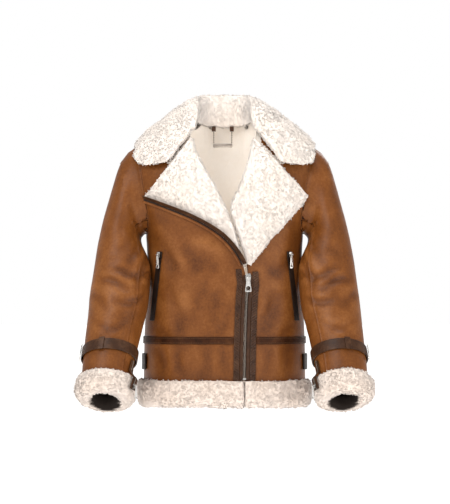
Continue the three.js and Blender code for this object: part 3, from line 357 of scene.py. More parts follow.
def wool(name, root, tip, inner_shade_colour):
    material, tree, shader = new_material(name)
    spot = tree.nodes.new("ShaderNodeTexCoord").outputs["Object"]
    curls = cloudy(tree, spot, 130.0, 6.0, 0.75, 0.8)
    patches = cloudy(tree, spot, 16.0, 2.0)
    end = add_node(tree, "ShaderNodeAttribute", attribute_name="tip").outputs["Fac"]
    tone = add_node(tree, "ShaderNodeAttribute", attribute_name="tone").outputs["Fac"]
    # Painted shade between the locks: darker cream at a lock's root and where the curl noise is low,
    # lighter towards the tips
    light = maths(tree, "MULTIPLY_ADD", end, 0.4, maths(tree, "MULTIPLY_ADD", curls, 0.6, 0.15))
    light = clamp(tree, maths(tree, "MULTIPLY_ADD", tone, 0.18, light))
    colour = mix(tree, light, root, tip)
    # Painted shade: the wool is made darker and warmer towards the hem
    height = tree.nodes.new("ShaderNodeSeparateXYZ")
    tree.links.new(spot, height.inputs["Vector"])
    low = add_node(
        tree,
        "ShaderNodeMapRange",
        {"Value": height.outputs["Z"], "From Min": LOW_SHADE_FROM, "From Max": LOW_SHADE_TO},
    ).outputs["Result"]
    colour = mix(tree, low, colour, (0.88, 0.83, 0.8, 1), "MULTIPLY")
    warm = maths(tree, "MULTIPLY", patches, 0.5)
    colour = mix(tree, warm, colour, (0.93, 0.82, 0.68, 1), "MULTIPLY")
    # Painted shade: where this is 1 the wool is painted almost black, as the shade deep inside the
    # sleeves and cuffs and near the armholes
    inner_shade = add_node(tree, "ShaderNodeAttribute", attribute_name="inner_shade").outputs["Fac"]
    colour = mix(tree, inner_shade, colour, inner_shade_colour)
    relief = add_node(
        tree, "ShaderNodeBump", {"Height": curls, "Strength": WOOL_RELIEF, "Distance": 0.003}
    )
    tree.links.new(colour, shader.inputs["Base Color"])
    tree.links.new(relief.outputs["Normal"], shader.inputs["Normal"])
    shader.inputs["Roughness"].default_value = 0.92
    shader.inputs["Specular IOR Level"].default_value = 0.12
    # No sheen on the painted shade, so that it stays dark
    unshaded = maths(tree, "SUBTRACT", 1.0, inner_shade)
    tree.links.new(maths(tree, "MULTIPLY", unshaded, 0.3), shader.inputs["Sheen Weight"])
    shader.inputs["Sheen Roughness"].default_value = 0.6
    return material


WOOL = wool(
    "cream wool", (0.83, 0.75, 0.68, 1), (0.885, 0.82, 0.775, 1), inner_shade_colour=(0.012, 0.008, 0.006, 1)
)
# The inside wool is mixed lighter than the trim wool, as painted light in the hollow of the jacket,
# where little lamp light reaches
LINING = wool(
    "inside wool", (0.88, 0.8, 0.71, 1), (0.97, 0.94, 0.9, 1), inner_shade_colour=(0.03, 0.012, 0.006, 1)
)
print("wools:", WOOL.name, "and", LINING.name)

# %% [markdown]
# ## From solid wall to living skin
# Each panel's solid is a plain wall 6 mm thick. The skin starts as its outer face only: the
# inner face and the rim are deleted, the triangles become quads, and a subdivision surface
# rounds them. Then the skin is worked: creases, soft swells, and the sewn edges that
# sink a little. Last, Solidify gives it back its thickness, with the wool on the inner side.

# %% Copy a solid and keep its outer face
def only(piece):
    bpy.ops.object.select_all(action="DESELECT")
    piece.select_set(True)
    bpy.context.view_layer.objects.active = piece


def copy_of(node, name):
    piece = bpy.data.objects.new(name, frame["nodes"][node].data.copy())
    bpy.context.scene.collection.objects.link(piece)
    piece.data.materials.clear()
    only(piece)
    bpy.ops.mesh.customdata_custom_splitnormals_clear()
    bpy.ops.object.mode_set(mode="EDIT")
    bpy.ops.mesh.select_all(action="SELECT")
    bpy.ops.mesh.remove_doubles(threshold=0.02 * MM)
    bpy.ops.object.mode_set(mode="OBJECT")
    return piece


def make_quads(turn):
    bpy.ops.object.mode_set(mode="EDIT")
    bpy.ops.mesh.select_all(action="SELECT")
    bpy.ops.mesh.tris_convert_to_quads(face_threshold=radians(turn), shape_threshold=radians(120))
    bpy.ops.object.mode_set(mode="OBJECT")


def smooth(piece, turn=None):
    only(piece)
    if turn is None:
        bpy.ops.object.shade_smooth()
    else:
        bpy.ops.object.shade_smooth_by_angle(angle=radians(turn))


def apply_modifier(piece, kind, **settings):
    only(piece)
    modifier = piece.modifiers.new(kind.lower(), kind)
    for key, value in settings.items():
        setattr(modifier, key, value)
    bpy.ops.object.modifier_apply(modifier=modifier.name)


TORSO_HALF = (0.2, 0.11, 0.5)
TORSO_MIDDLE_Z = -0.3
INWARD = 0.35
OUTWARD = 0.6
SMOOTH_TURN = 55
SLEEVE_HOLLOWS = ("sleeve_top", "sleeve_elbow", "sleeve_forearm", "sleeve_wrist", "cuff_inner")
OPENINGS = {row["name"]: row["box_m"] for row in frame["record"]["physics"]["openings"]}


def from_torso(point):
    from_middle = (point.x, point.y, point.z - TORSO_MIDDLE_Z)
    return Vector([value / half**2 for value, half in zip(from_middle, TORSO_HALF)])


def sleeve_line(side):
    corners = [OPENINGS[f"{hollow}_{side}"] for hollow in SLEEVE_HOLLOWS]
    middles = np.array([(np.array(low) + np.array(high)) / 2 for low, high in corners])
    return middles[np.argsort(middles[:, 2])]


def sleeve_middles(side, heights):
    line = sleeve_line(side)
    return np.column_stack([np.interp(heights, line[:, 2], line[:, k]) for k in (0, 1)])


def from_sleeve(side):
    line = sleeve_line(side)
    heights = np.linspace(line[0, 2] - 0.05, line[-1, 2], 60)
    middles = np.column_stack((sleeve_middles(side, heights), heights))

    def outward(point):
        away = np.array(point) - middles
        return Vector(away[np.argmin((away**2).sum(axis=1))])

    return outward


def keep_outer_face(piece, outward):
    """Deletes the inner wall, and the rim that joins it to the outer one."""
    only(piece)
    make_quads(70)
    form = bmesh.new()
    form.from_mesh(piece.data)
    lean = {
        face: face.normal.dot(outward(face.calc_center_median()).normalized())
        for face in form.faces
    }
    inner = {face for face in form.faces if lean[face] < -INWARD}
    rim = {near for face in inner for edge in face.edges for near in edge.link_faces}
    ahead = [face for face in form.faces if lean[face] > OUTWARD and face not in rim]
    kept = set(ahead)
    while ahead:
        face = ahead.pop()
        for near in {near for edge in face.edges for near in edge.link_faces} - kept - rim:
            if face.normal.angle(near.normal) < radians(SMOOTH_TURN):
                kept.add(near)
                ahead.append(near)
    bmesh.ops.delete(form, geom=list(set(form.faces) - kept), context="FACES")
    form.to_mesh(piece.data)
    form.free()


# %% [markdown]
# ## Creases
# A crease is a row of numbers: where it starts and ends, how deep and how wide it is. On the
# torso the places are x and height in millimetres. On a sleeve they are the angle round the
# arm, 0 inside, 90 in front and 180 outside, and the height. Each crease fades at both ends
# and pushes up a low ridge beside it, as leather does, because its area stays the same.

# %% The creases
FRONT_CREASES = {
    "right": [
        # x, z at one end, x, z at the other, depth, width
        (-152, -222, -118, -318, 2.4, 13),
        (-126, -262, -70, -300, 1.6, 12),
        (-64, -226, -6, -268, -2.2, 13),
        (-100, -215, -40, -290, 1.8, 15),
        (-40, -300, -96, -415, 1.5, 17),
        (10, -318, -22, -420, 1.4, 12),
        (-128, -330, -104, -440, 2.0, 12),
        (-20, -436, 6, -372, 1.4, 9),
        (-150, -420, -120, -446, 1.6, 9),
        (-172, -240, -166, -350, 1.8, 9),
    ],
    "left": [
        (156, -200, 118, -300, 2.4, 13),
        (84, -262, 132, -312, 1.6, 12),
        (72, -300, 112, -418, 1.6, 16),
        (128, -336, 102, -440, 2.0, 12),
        (82, -440, 96, -380, 1.4, 9),
        (150, -418, 122, -446, 1.6, 9),
        (172, -245, 166, -345, 1.8, 9),
    ],
}
LOWER_CREASES = [
    (-150, -462, -138, -528, 1.6, 9),
    (-96, -456, -88, -530, 1.4, 10),
    (-42, -460, -52, -528, 1.3, 9),
    (0, -456, 8, -524, 1.2, 8),
    (92, -458, 84, -528, 1.5, 10),
    (140, -456, 150, -526, 1.5, 9),
]
BACK_CREASES = [
    (-58, -52, -78, -260, 2.0, 20),
    (66, -44, 58, -230, 2.2, 22),
    (-150, -176, -104, -300, 2.8, 14),
    (146, -168, 100, -310, 2.8, 15),
    (-172, -232, -120, -352, 2.2, 12),
    (170, -240, 124, -340, 2.2, 12),
    (-30, -396, -44, -446, 1.8, 9),
    (38, -388, 44, -446, 1.8, 10),
    (-112, -392, -98, -446, 1.8, 10),
    (120, -400, 104, -446, 1.8, 9),
    (-8, -230, 12, -372, 1.4, 18),
]
SLEEVE_CREASES = [
    # angle, z at one end, angle, z at the other, depth, width
    (28, -228, 82, -286, 3.0, 10),
    (60, -205, 112, -262, 1.8, 12),
    (18, -262, 52, -326, 2.6, 9),
    (135, -316, 78, -334, 3.0, 8),
    (104, -282, 46, -306, 3.4, 8),
    (46, -306, 4, -310, 3.0, 8),
    (100, -356, 30, -350, 2.6, 8),
    (168, -346, 118, -372, 2.0, 9),
    (142, -403, 58, -408, 1.8, 7),
    (122, -432, 74, -428, 1.4, 7),
    (200, -240, 262, -296, 3.0, 11),
    (250, -232, 322, -282, 3.0, 10),
    (188, -318, 250, -338, 3.2, 9),
    (300, -300, 348, -318, 3.0, 8),
    (238, -362, 322, -352, 2.6, 9),
    (196, -398, 272, -410, 2.0, 8),
    (282, -420, 340, -412, 1.8, 8),
]
ARM_RADIUS = 0.062
RIDGE_SHARE = 0.4
print(len(SLEEVE_CREASES), "creases on a sleeve and", len(BACK_CREASES), "on the back")


def crease_offsets(places, creases, shift):
    """Adds up the creases at flat places (n, 2), in metres."""
    total = np.zeros(len(places))
    for row, (u0, v0, u1, v1, depth, width) in enumerate(creases):
        start = np.array((u0, v0)) + shift[row, :2]
        end = np.array((u1, v1)) + shift[row, 2:]
        run = end - start
        bow = np.array((-run[1], run[0])) * 0.12 * (-1) ** row
        near = np.full(len(places), 1e9)
        at = np.zeros(len(places))
        for share in np.linspace(0, 1, 17):
            spot = start + run * share + bow * 4 * share * (1 - share)
            away = np.hypot(*(places - spot).T)
            closer = away < near
            near[closer] = away[closer]
            at[closer] = share
        fade = np.clip(np.sin(pi * (0.06 + 0.88 * at)), 0, 1) ** 0.8
        size = width * MM
        trough = np.exp(-((near / size) ** 2))
        ridge = np.exp(-(((near - 2 * size) / size) ** 2))
        total += depth * MM * fade * (RIDGE_SHARE * ridge - trough)
    return total


# %% [markdown]
# ## Working a skin
# The offsets act along each point's normal. A slow noise gives the soft swells of a filled
# jacket, and close to a sewn edge the skin sinks and puckers. All that was pushed in or out is
# kept as a point attribute, which the leather reads to paint shade into the creases, dips and
# sunk seams and to lighten the crests, partly as wear and partly as painted highlight.

# %% Work the skins
SEAM_DEPTH = 1.3
SEAM_WIDTH = 5.0
SWELL_SCALE, SWELL_HEIGHT = 13, 1.1
WAVE_SCALE, WAVE_HEIGHT = 46, 0.35
SEAM_SCALE, SEAM_HEIGHT = 120, 1.2
SEAM_CALM = 0.02
rng = np.random.default_rng(11)


def read_points(piece):
    mesh = piece.data
    points = np.empty(len(mesh.vertices) * 3)
    normals = np.empty(len(mesh.vertices) * 3)
    mesh.vertices.foreach_get("co", points)
    mesh.vertices.foreach_get("normal", normals)
    return points.reshape(-1, 3), normals.reshape(-1, 3)


def write_points(piece, points):
    piece.data.vertices.foreach_set("co", points.ravel())
    piece.data.update()


def write_attribute(piece, name, values):
    layer = piece.data.attributes.new(name, "FLOAT", "POINT")
    layer.data.foreach_set("value", np.asarray(values, dtype=np.float32))


def noise_at(points, scale):
    return np.array([noise.noise(Vector(point) * scale) for point in points])


def border_distance(piece, points):
    form = bmesh.new()
    form.from_mesh(piece.data)
    border = [vertex.co.copy() for vertex in form.verts if vertex.is_boundary]
    form.free()
    tree = kdtree.KDTree(len(border))
    for index, spot in enumerate(border):
        tree.insert(spot, index)
    tree.balance()
    return np.array([tree.find(Vector(point))[2] for point in points])


def tree_of(piece):
    points, _ = read_points(piece)
    faces = [face.vertices[:] for face in piece.data.polygons]
    return BVHTree.FromPolygons(points.tolist(), faces)


def work_skin(piece, flat_places, creases, jitter=0.0):
    points, normals = read_points(piece)
    shift = rng.normal(0, 1, (len(creases), 4)) * jitter
    folds = crease_offsets(flat_places, creases, shift)
    edge = border_distance(piece, points)
    close = np.exp(-((edge / (SEAM_WIDTH * MM)) ** 2))
    slow, quick = noise_at(points, SWELL_SCALE), noise_at(points, WAVE_SCALE)
    inside = 1 - np.exp(-((edge / SEAM_CALM) ** 2))
    offset = folds * (1 - close)
    offset += (slow * SWELL_HEIGHT + quick * WAVE_HEIGHT) * MM * inside
    beside = np.clip(edge / (0.6 * SEAM_WIDTH * MM), 0, 1) * close
    offset -= (SEAM_DEPTH + noise_at(points, SEAM_SCALE) * SEAM_HEIGHT) * MM * beside
    write_points(piece, points + normals * offset[:, None])
    # Painted shade and highlight: darker in creases, in the swells' dips and beside the sunk seams,
    # lighter on crests and swells, partly as wear
    skin_shade_and_wear = np.clip(folds / (1.6 * MM) + quick * 0.25 - 0.35 * close + slow * 0.15, -1, 1)
    write_attribute(piece, "fold", skin_shade_and_wear)


def line_with_wool(piece, thick):
    piece.data.materials.append(TAN)
    piece.data.materials.append(LINING)
    apply_modifier(
        piece, "SOLIDIFY", thickness=thick * MM, offset=-1, material_offset=1, use_rim=True
    )
    smooth(piece, 50)


def finish_piece(piece, node, body="jacket"):
    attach(piece, body)
    if node:
        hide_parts(node)


# %% [markdown]
# ## Cutting list of the skins
# A maker lays each panel flat on the skin before cutting it. The list gives the width and the
# length of the rectangle that each panel is cut from. Panels with a curved armhole or neck fill
# only a part of it.
# The back's neck edge rises inside the collar, where it is sewn to the collar's stand, and the
# skin's edges at the neck are woolly. Inside the sleeves the wool is painted almost black, as shade.


PANELS = {
    # node: cut width and length in m, smoothing steps, thickness in mm
    "front_upper_right": (0.3, 0.53, 3, 5.6),
    "front_upper_left": (0.27, 0.53, 3, 5.6),
    "front_lower_right": (0.31, 0.091, 3, 5.6),
    "front_lower_left": (0.21, 0.091, 3, 5.6),
    "back_upper": (0.5, 0.55, 2, 5.6),
    "back_lower": (0.49, 0.091, 2, 5.6),
    "sleeve_upper_right": (0.34, 0.62, 3, 1.8),
    "sleeve_upper_left": (0.34, 0.62, 3, 1.8),
    "sleeve_under_right": (0.15, 0.42, 2, 1.8),
    "sleeve_under_left": (0.15, 0.42, 2, 1.8),
}
ARMHOLE_FROM = 0.165
ARMHOLE_FADE = 0.03
STAND_HEIGHT = 0.034
STAND_HALF_WIDTH = 0.078
STAND_ROOT = 0.04
NEAR_X = 0.006
NO_TOP = -1.0
NECK_HALF_WIDTH = 0.08
NECK_FOOT = -0.02


def raise_neck(piece):
    """Lifts the back panel's neck edge until it meets the collar's inner side."""
    points, _ = read_points(piece)
    middle = points[np.abs(points[:, 0]) < 1.3 * STAND_HALF_WIDTH]
    tops = [
        middle[np.abs(middle[:, 0] - x) < NEAR_X][:, 2].max(initial=NO_TOP) for x in points[:, 0]
    ]
    near_edge = np.clip(1 - (np.array(tops) - points[:, 2]) / STAND_ROOT, 0, 1)
    inside = np.exp(-((points[:, 0] / STAND_HALF_WIDTH) ** 6))
    points[:, 2] += STAND_HEIGHT * near_edge * inside * (np.array(tops) > NO_TOP)
    write_points(piece, points)


skins = {}
for node, (width, length, steps, thick) in PANELS.items():
    side = "right" if "right" in node else "left"
    skin = copy_of(node, node + "_skin")
    sleeve = node.startswith("sleeve")
    keep_outer_face(skin, from_sleeve(side) if sleeve else from_torso)
    apply_modifier(
        skin, "SUBSURF", levels=steps, render_levels=steps, boundary_smooth="PRESERVE_CORNERS"
    )
    points, _ = read_points(skin)
    if sleeve:
        turn = 1 if side == "right" else -1
        away = points[:, :2] - sleeve_middles(side, points[:, 2])
        angles = np.arctan2(-away[:, 1], away[:, 0] * turn) % (2 * pi)
        places = np.column_stack((angles * ARM_RADIUS, points[:, 2]))
        creases = [
            (radians(a0) * ARM_RADIUS, z0 * MM, radians(a1) * ARM_RADIUS, z1 * MM, deep, wide)
            for a0, z0, a1, z1, deep, wide in SLEEVE_CREASES
        ]
        work_skin(skin, places, creases, jitter=0.003 if side == "left" else 0.0008)
        # The sleeve's inner wool is painted almost black, as the shade inside the sleeve
        write_attribute(skin, "inner_shade", np.ones(len(points)))
    else:
        table = BACK_CREASES if "back" in node else FRONT_CREASES[side]
        if "lower" in node:
            table = LOWER_CREASES
        creases = [tuple(v * MM for v in row[:4]) + row[4:] for row in table]
        work_skin(skin, points[:, [0, 2]], creases)
        if node == "back_upper":
            raise_neck(skin)
        # The upper panels' inner wool is painted dark near the armholes, as the shade inside the
        # jacket
        near_arm = (np.abs(points[:, 0]) - ARMHOLE_FROM) / ARMHOLE_FADE
        write_attribute(skin, "inner_shade", np.clip(near_arm, 0, 1) * ("upper" in node))
    line_with_wool(skin, thick)
    if "upper" in node and not sleeve:
        for face in skin.data.polygons:
            if abs(face.center.x) < NECK_HALF_WIDTH and face.center.z > NECK_FOOT:
                face.material_index = 1
    finish_piece(skin, node)
    skins[node] = skin

# %% [markdown]
# ## Seam tape in the armholes
# On the jacket a strip of leather is sewn behind the armhole seam, so that the seam can't gape.
# Here it closes the narrow gap that is left between the rounded edges of the skins. It is a
# copy of the sleeve's wall, sunk below the skin and cut away farther than 45 mm from the body.

# %% Tape the armholes
TAPE_SUNK = 1.8
TAPE_REACH = 0.045

for side in ("right", "left"):
    bodies = [tree_of(frame["nodes"][node]) for node in (f"front_upper_{side}", "back_upper")]
    for part in ("upper", "under"):
        tape = copy_of(f"sleeve_{part}_{side}", f"armhole_tape_{part}_{side}")
        apply_modifier(tape, "SUBSURF", subdivision_type="SIMPLE", levels=2, render_levels=2)
        points, normals = read_points(tape)
        write_points(tape, points - normals * TAPE_SUNK * MM)
        form = bmesh.new()
        form.from_mesh(tape.data)
        far = [
            vertex
            for vertex in form.verts
            if min(tree.find_nearest(vertex.co)[3] for tree in bodies) > TAPE_REACH
        ]
        bmesh.ops.delete(form, geom=far, context="VERTS")
        form.to_mesh(tape.data)
        form.free()
        tape.data.materials.append(TAN)
        smooth(tape)
        finish_piece(tape, None)
        print(tape.name, len(tape.data.polygons), "faces")

# %% [markdown]
# ## Wool trims
# The collar, the lapels, the hem and the cuffs are folded shearling, thick and springy. Each
# one starts as a copy of its solid, remeshed into an even skin of small faces and swelled with
# a slow noise, so that no straight edge is left. Locks of wool then grow from it. One lock is a
# three-sided spike that bends as it grows; thousands of them, joined into one mesh, give the
# soft broken edge that a bump can't give. Their places and lengths come from a fixed seed. The
# way they lean comes from a noise that differs a little from run to run.

# %% Shape the trims and grow the locks
LOCKS_PER_METRE2 = 78000
LOCK_LENGTH = 4.0
LOCK_ROOT = 1.7
SHRINK = 0.6
VOXEL = 4.5
LUMPS, LUMP_HEIGHT = 38, 2.2
CURLS, CURL_HEIGHT = 110, 0.8


def wool_base(node):
    base = copy_of(node, node + "_wool")
    base.data.remesh_voxel_size = VOXEL * MM
    bpy.ops.object.voxel_remesh()
    apply_modifier(base, "SMOOTH", factor=0.5, iterations=4)
    points, normals = read_points(base)
    offset = noise_at(points, LUMPS) * LUMP_HEIGHT + noise_at(points, CURLS) * CURL_HEIGHT
    offset = (offset - SHRINK) * MM
    write_points(base, points + normals * offset[:, None])
    base.data.materials.append(WOOL)
    smooth(base)
    return base


def grow_locks(base, name, where, seed):
    seeds = np.random.default_rng(seed)
    mesh = base.data
    mesh.calc_loop_triangles()
    points, _ = read_points(base)
    corners = points[np.array([triangle.vertices[:] for triangle in mesh.loop_triangles])]
    cross = np.cross(corners[:, 1] - corners[:, 0], corners[:, 2] - corners[:, 0])
    areas = np.linalg.norm(cross, axis=1) / 2
    normals = cross / (2 * areas[:, None] + 1e-12)
    wanted = where(corners.mean(axis=1), normals)
    weights = areas * wanted
    count = int(weights.sum() * LOCKS_PER_METRE2)
    picked = seeds.choice(len(areas), count, p=weights / weights.sum())
    a, b = seeds.random((2, count, 1))
    flip = a + b > 1
    a, b = np.where(flip, 1 - a, a), np.where(flip, 1 - b, b)
    corner = corners[picked]
    root = corner[:, 0] + a * (corner[:, 1] - corner[:, 0]) + b * (corner[:, 2] - corner[:, 0])
    out = normals[picked]
    clump = np.array([noise.noise_vector(Vector(spot) * 26) for spot in root])
    lean = clump * 0.8 + seeds.normal(0, 0.15, (count, 3)) + np.array((0, 0, -0.3))
    lean -= out * (lean * out).sum(axis=1)[:, None]
    size = LOCK_LENGTH * MM * (0.45 + 0.9 * seeds.random((count, 1)) ** 2)
    middle = root + out * size * 0.5 + lean * size * 0.28
    tip = root + out * size * 0.82 + lean * size * 0.8
    side = np.cross(out, seeds.normal(0, 1, (count, 3)))
    side /= np.linalg.norm(side, axis=1)[:, None]
    other = np.cross(out, side)
    rings = []
    for centre, radius in ((root - out * MM, LOCK_ROOT * MM), (middle, LOCK_ROOT * 0.8 * MM)):
        for turn in (0, 2 * pi / 3, 4 * pi / 3):
            rings.append(centre + radius * (cos(turn) * side + sin(turn) * other))
    spots = np.stack([*rings, tip], axis=1).reshape(-1, 3)
    pattern = [(0, 1, 4), (0, 4, 3), (1, 2, 5), (1, 5, 4), (2, 0, 3), (2, 3, 5)]
    pattern += [(3, 4, 6), (4, 5, 6), (5, 3, 6)]
    faces = (np.arange(count)[:, None, None] * 7 + np.array(pattern)).reshape(-1, 3)
    locks_mesh = bpy.data.meshes.new(name)
    locks_mesh.from_pydata(spots.tolist(), [], faces.tolist())
    locks = bpy.data.objects.new(name, locks_mesh)
    bpy.context.scene.collection.objects.link(locks)
    # 0 at a lock's root, where the wool colour paints the shade between locks, and 1 at its tip
    write_attribute(locks, "tip", np.tile((0, 0, 0, 0.6, 0.6, 0.6, 1), count))
    write_attribute(locks, "tone", np.repeat(seeds.random(count), 7))
    locks.data.materials.append(WOOL)
    smooth(locks)
    # The locks take the light like the smooth skin below them, which makes them look soft
    locks.data.normals_split_custom_set_from_vertices(np.repeat(out, 7, axis=0).tolist())
    return locks


def all_round(spots, normals):
    return np.ones(len(spots))


def front_side(spots, normals):
    return (normals[:, 1] < 0.25).astype(float)


def outer_side(spots, normals):
    wide, deep, _ = TORSO_HALF
    away = spots[:, 0] / wide**2 * normals[:, 0] + spots[:, 1] / deep**2 * normals[:, 1]
    return ((away > -1.5) | (normals[:, 2] < -0.5)).astype(float)


def sleeve_lean(side, spots, normals):
    outward = from_sleeve(side)
    ways = [outward(Vector(spot)).normalized() for spot in spots]
    return np.array([Vector(normal).dot(way) for normal, way in zip(normals, ways)])


def outside_of(side):
    return lambda spots, normals: (sleeve_lean(side, spots, normals) > -0.25).astype(float)


TRIMS = {
    # node: where its locks grow
    "collar": all_round,
    "lapel_right": front_side,
    "lapel_left": front_side,
    "hem_front_right": outer_side,
    "hem_front_left": outer_side,
    "hem_back": outer_side,
    "cuff_wool_right": outside_of("right"),
    "cuff_wool_left": outside_of("left"),
}
bases = {}
for seed, (node, where) in enumerate(TRIMS.items()):
    base = wool_base(node)
    bases[node] = base
    locks = grow_locks(base, node + "_locks", where, seed)
    # The cuff's wool that faces into the sleeve is painted almost black, as the shade in the
    # sleeve's opening
    if node.startswith("cuff"):
        points, normals = read_points(base)
        lean = sleeve_lean(node.split("_")[-1], points, normals)
        write_attribute(base, "inner_shade", np.clip((-lean - 0.15) * 3, 0, 1))
    finish_piece(base, node)
    finish_piece(locks, None)
    print(node, len(base.data.polygons), "faces and", len(locks.data.polygons) // 9, "locks")

# %% [markdown]
# ## The notch between collar and lapel
# Where the collar meets a lapel, the two folds of shearling press together and no leather
# shows. Their solids leave a narrow slit there, because each is a piece of its own. At the bottom
# of the slit lies the front's skin, so its few faces there get the inside wool.

# %% Fill the notches
NOTCH_WIDTH = 0.0145

collar_tree = tree_of(bases["collar"])
for side in ("right", "left"):
    lapel_tree = tree_of(bases[f"lapel_{side}"])
    skin = skins[f"front_upper_{side}"]
    woolly = 0
    for face in skin.data.polygons:
        reach = [tree.find_nearest(face.center)[3] for tree in (collar_tree, lapel_tree)]
        if max(reach) < NOTCH_WIDTH:
            face.material_index = 1
            woolly += 1
    print("notch", side, woolly, "faces show wool")

# %% [markdown]
# ## Metals
# The zips, sliders, buckles and chains are nickel with a dark antique finish. Metal looks like
# metal because of what it mirrors, so the only texture here is a fine brushed roughness and a
# little dark wax in small patches, laid by a noise.

# %% Mix the metals
def metal(name, colour, dull, roughness):
    material, tree, shader = new_material(name)
    spot = tree.nodes.new("ShaderNodeTexCoord").outputs["Object"]
    wear = cloudy(tree, spot, 320.0, 4.0)
    tree.links.new(mix(tree, wear, dull, colour), shader.inputs["Base Color"])
    rough = maths(tree, "MULTIPLY_ADD", wear, 0.25, roughness)
    tree.links.new(rough, shader.inputs["Roughness"])
    shader.inputs["Metallic"].default_value = 1.0
    return material


SILVER = metal("antique silver", (0.72, 0.7, 0.67, 1), (0.32, 0.3, 0.28, 1), 0.16)
TEETH = metal("zip teeth", (0.42, 0.37, 0.32, 1), (0.14, 0.11, 0.09, 1), 0.28)
TAPE = leather(
    "zip tape",
    dark=(0.006, 0.004, 0.003, 1),
    middle=(0.018, 0.01, 0.007, 1),
    light=(0.04, 0.024, 0.015, 1),
    pores_scale=1400.0,
    coat=0.0,
)
THREAD = leather(
    "waxed thread",
    dark=(0.05, 0.02, 0.008, 1),
    middle=(0.13, 0.06, 0.025, 1),
    light=(0.22, 0.11, 0.05, 1),
    pores_scale=2400.0,
    coat=0.05,
)
print("metals:", SILVER.name, "and", TEETH.name)

# %% [markdown]
# ## Rows of small things
# Zip teeth and stitches are the same small part again and again along a line. The part is
# modelled once with a few operators, read into arrays, and laid along the line at an even
# pitch. A zip's solid tells where its line runs: it was made from rows of four corners, so the
# corners sorted along the zip give the line, its width and the way out of the surface.

# %% Lay a part along a line
def strip_line(node, axis):
    corners = np.unique(
        np.round([vertex.co[:] for vertex in frame["nodes"][node].data.vertices], 6), axis=0
    )
    corners = corners[np.argsort(corners[:, axis])]
    rows = corners.reshape(-1, 4, 3)
    middles, outs, widths = [], [], []
    for row in rows:
        centre = row.mean(axis=0)
        pairs = [(np.linalg.norm(row[0] - row[k]), k) for k in (1, 2, 3)]
        _, partner = min(pairs)
        rest = [k for k in (1, 2, 3) if k != partner]
        thin = row[0] - row[partner]
        wide = (row[0] + row[partner]) / 2 - (row[rest[0]] + row[rest[1]]) / 2
        thin /= np.linalg.norm(thin)
        outs.append(thin * (-1 if thin[1] > 0 else 1))
        widths.append(wide * (1 if wide[0] > 0 or abs(wide[0]) < 1e-9 else -1))
        middles.append(centre)
    return np.array(middles), np.array(outs), np.array(widths)


def spaced(line, pitch, *columns):
    steps = np.linalg.norm(np.diff(line, axis=0), axis=1)
    run = np.concatenate(([0], np.cumsum(steps)))
    marks = np.arange(pitch / 2, run[-1], pitch)
    return [
        np.column_stack([np.interp(marks, run, values[:, axis]) for axis in range(3)])
        for values in (line, *columns)
    ]


def small_part(size, bevel, segments=1):
    bpy.ops.object.select_all(action="DESELECT")
    bpy.ops.mesh.primitive_cube_add(size=1, scale=[value * MM for value in size])
    part = bpy.context.object
    bpy.ops.object.transform_apply(location=True, rotation=True, scale=True)
    apply_modifier(part, "BEVEL", width=bevel * MM, segments=segments)
    points, _ = read_points(part)
    faces = [tuple(polygon.vertices) for polygon in part.data.polygons]
    bpy.data.objects.remove(part)
    return points, faces


def lay_along(name, part, spots, runs, outs, material):
    points, faces = part
    all_points, all_faces = [], []
    for index, (spot, run, out) in enumerate(zip(spots, runs, outs)):
        run = run / np.linalg.norm(run)
        out = out - run * np.dot(out, run)
        out = out / np.linalg.norm(out)
        across = np.cross(run, out)
        frame_here = np.stack((across, run, out))
        all_points.append(points @ frame_here + spot)
        base = index * len(points)
        all_faces.extend([tuple(base + corner for corner in face) for face in faces])
    mesh = bpy.data.meshes.new(name)
    mesh.from_pydata(np.concatenate(all_points).tolist(), [], all_faces)
    piece = bpy.data.objects.new(name, mesh)
    bpy.context.scene.collection.objects.link(piece)
    mesh.materials.append(material)
    smooth(piece, 40)
    return piece


# %% [markdown]
# ## Zips
# A zip is two tapes with a row of teeth each. Closed, the teeth of one side sit between those
# of the other, so a closed zip is two rows, each shifted by half a pitch. The tape is a copy of
# the solid in dark cloth.

# %% Make the zips
ZIPS = {
    # node: axis along it, tooth width, thickness, pitch, rows' distance from the middle
    "main_zip": (2, 2.4, 1.4, 2.6, 0.9),
    "cuff_zip_right": (2, 1.9, 1.1, 2.0, 0.7),
    "cuff_zip_left": (2, 1.9, 1.1, 2.0, 0.7),
    "open_zip_right": (0, 2.4, 1.4, 2.8, 0.0),
}
TOOTH_LIFT = 0.8

for node, (axis, wide, thick, pitch, apart) in ZIPS.items():
    line, outs, widths = strip_line(node, axis)
    tape = copy_of(node, node + "_tape")
    tape.data.materials.append(TAPE)
    spots, outs_here, wides = spaced(line, pitch * MM, outs, widths)
    runs = np.gradient(spots, axis=0)
    tooth = small_part((wide, pitch * 0.5, thick), 0.25)
    rows = (-1, 1) if apart else (0,)
    side = wides / np.linalg.norm(wides, axis=1)[:, None]
    shift = side * apart * MM + runs * 0.25
    places = np.concatenate([spots + shift * row + outs_here * TOOTH_LIFT * MM for row in rows])
    ways, ups = (np.tile(values, (len(rows), 1)) for values in (runs, outs_here))
    teeth = lay_along(node + "_teeth", tooth, places, ways, ups, TEETH)
    finish_piece(tape, node)
    finish_piece(teeth, None)
    print(node, len(places), "teeth")

# %% [markdown]
# ## The stop at the zip's foot
# A zip ends in a small metal box that keeps the slider from running off. It is one block with
# rounded edges, laid on the tape a little above the tape's lowest row.

# %% Set the stop at the zip's foot
STOP = (7.0, 3.2, 2.2)
STOP_LIFT = 1.2
STOP_ABOVE_FOOT = 0.004

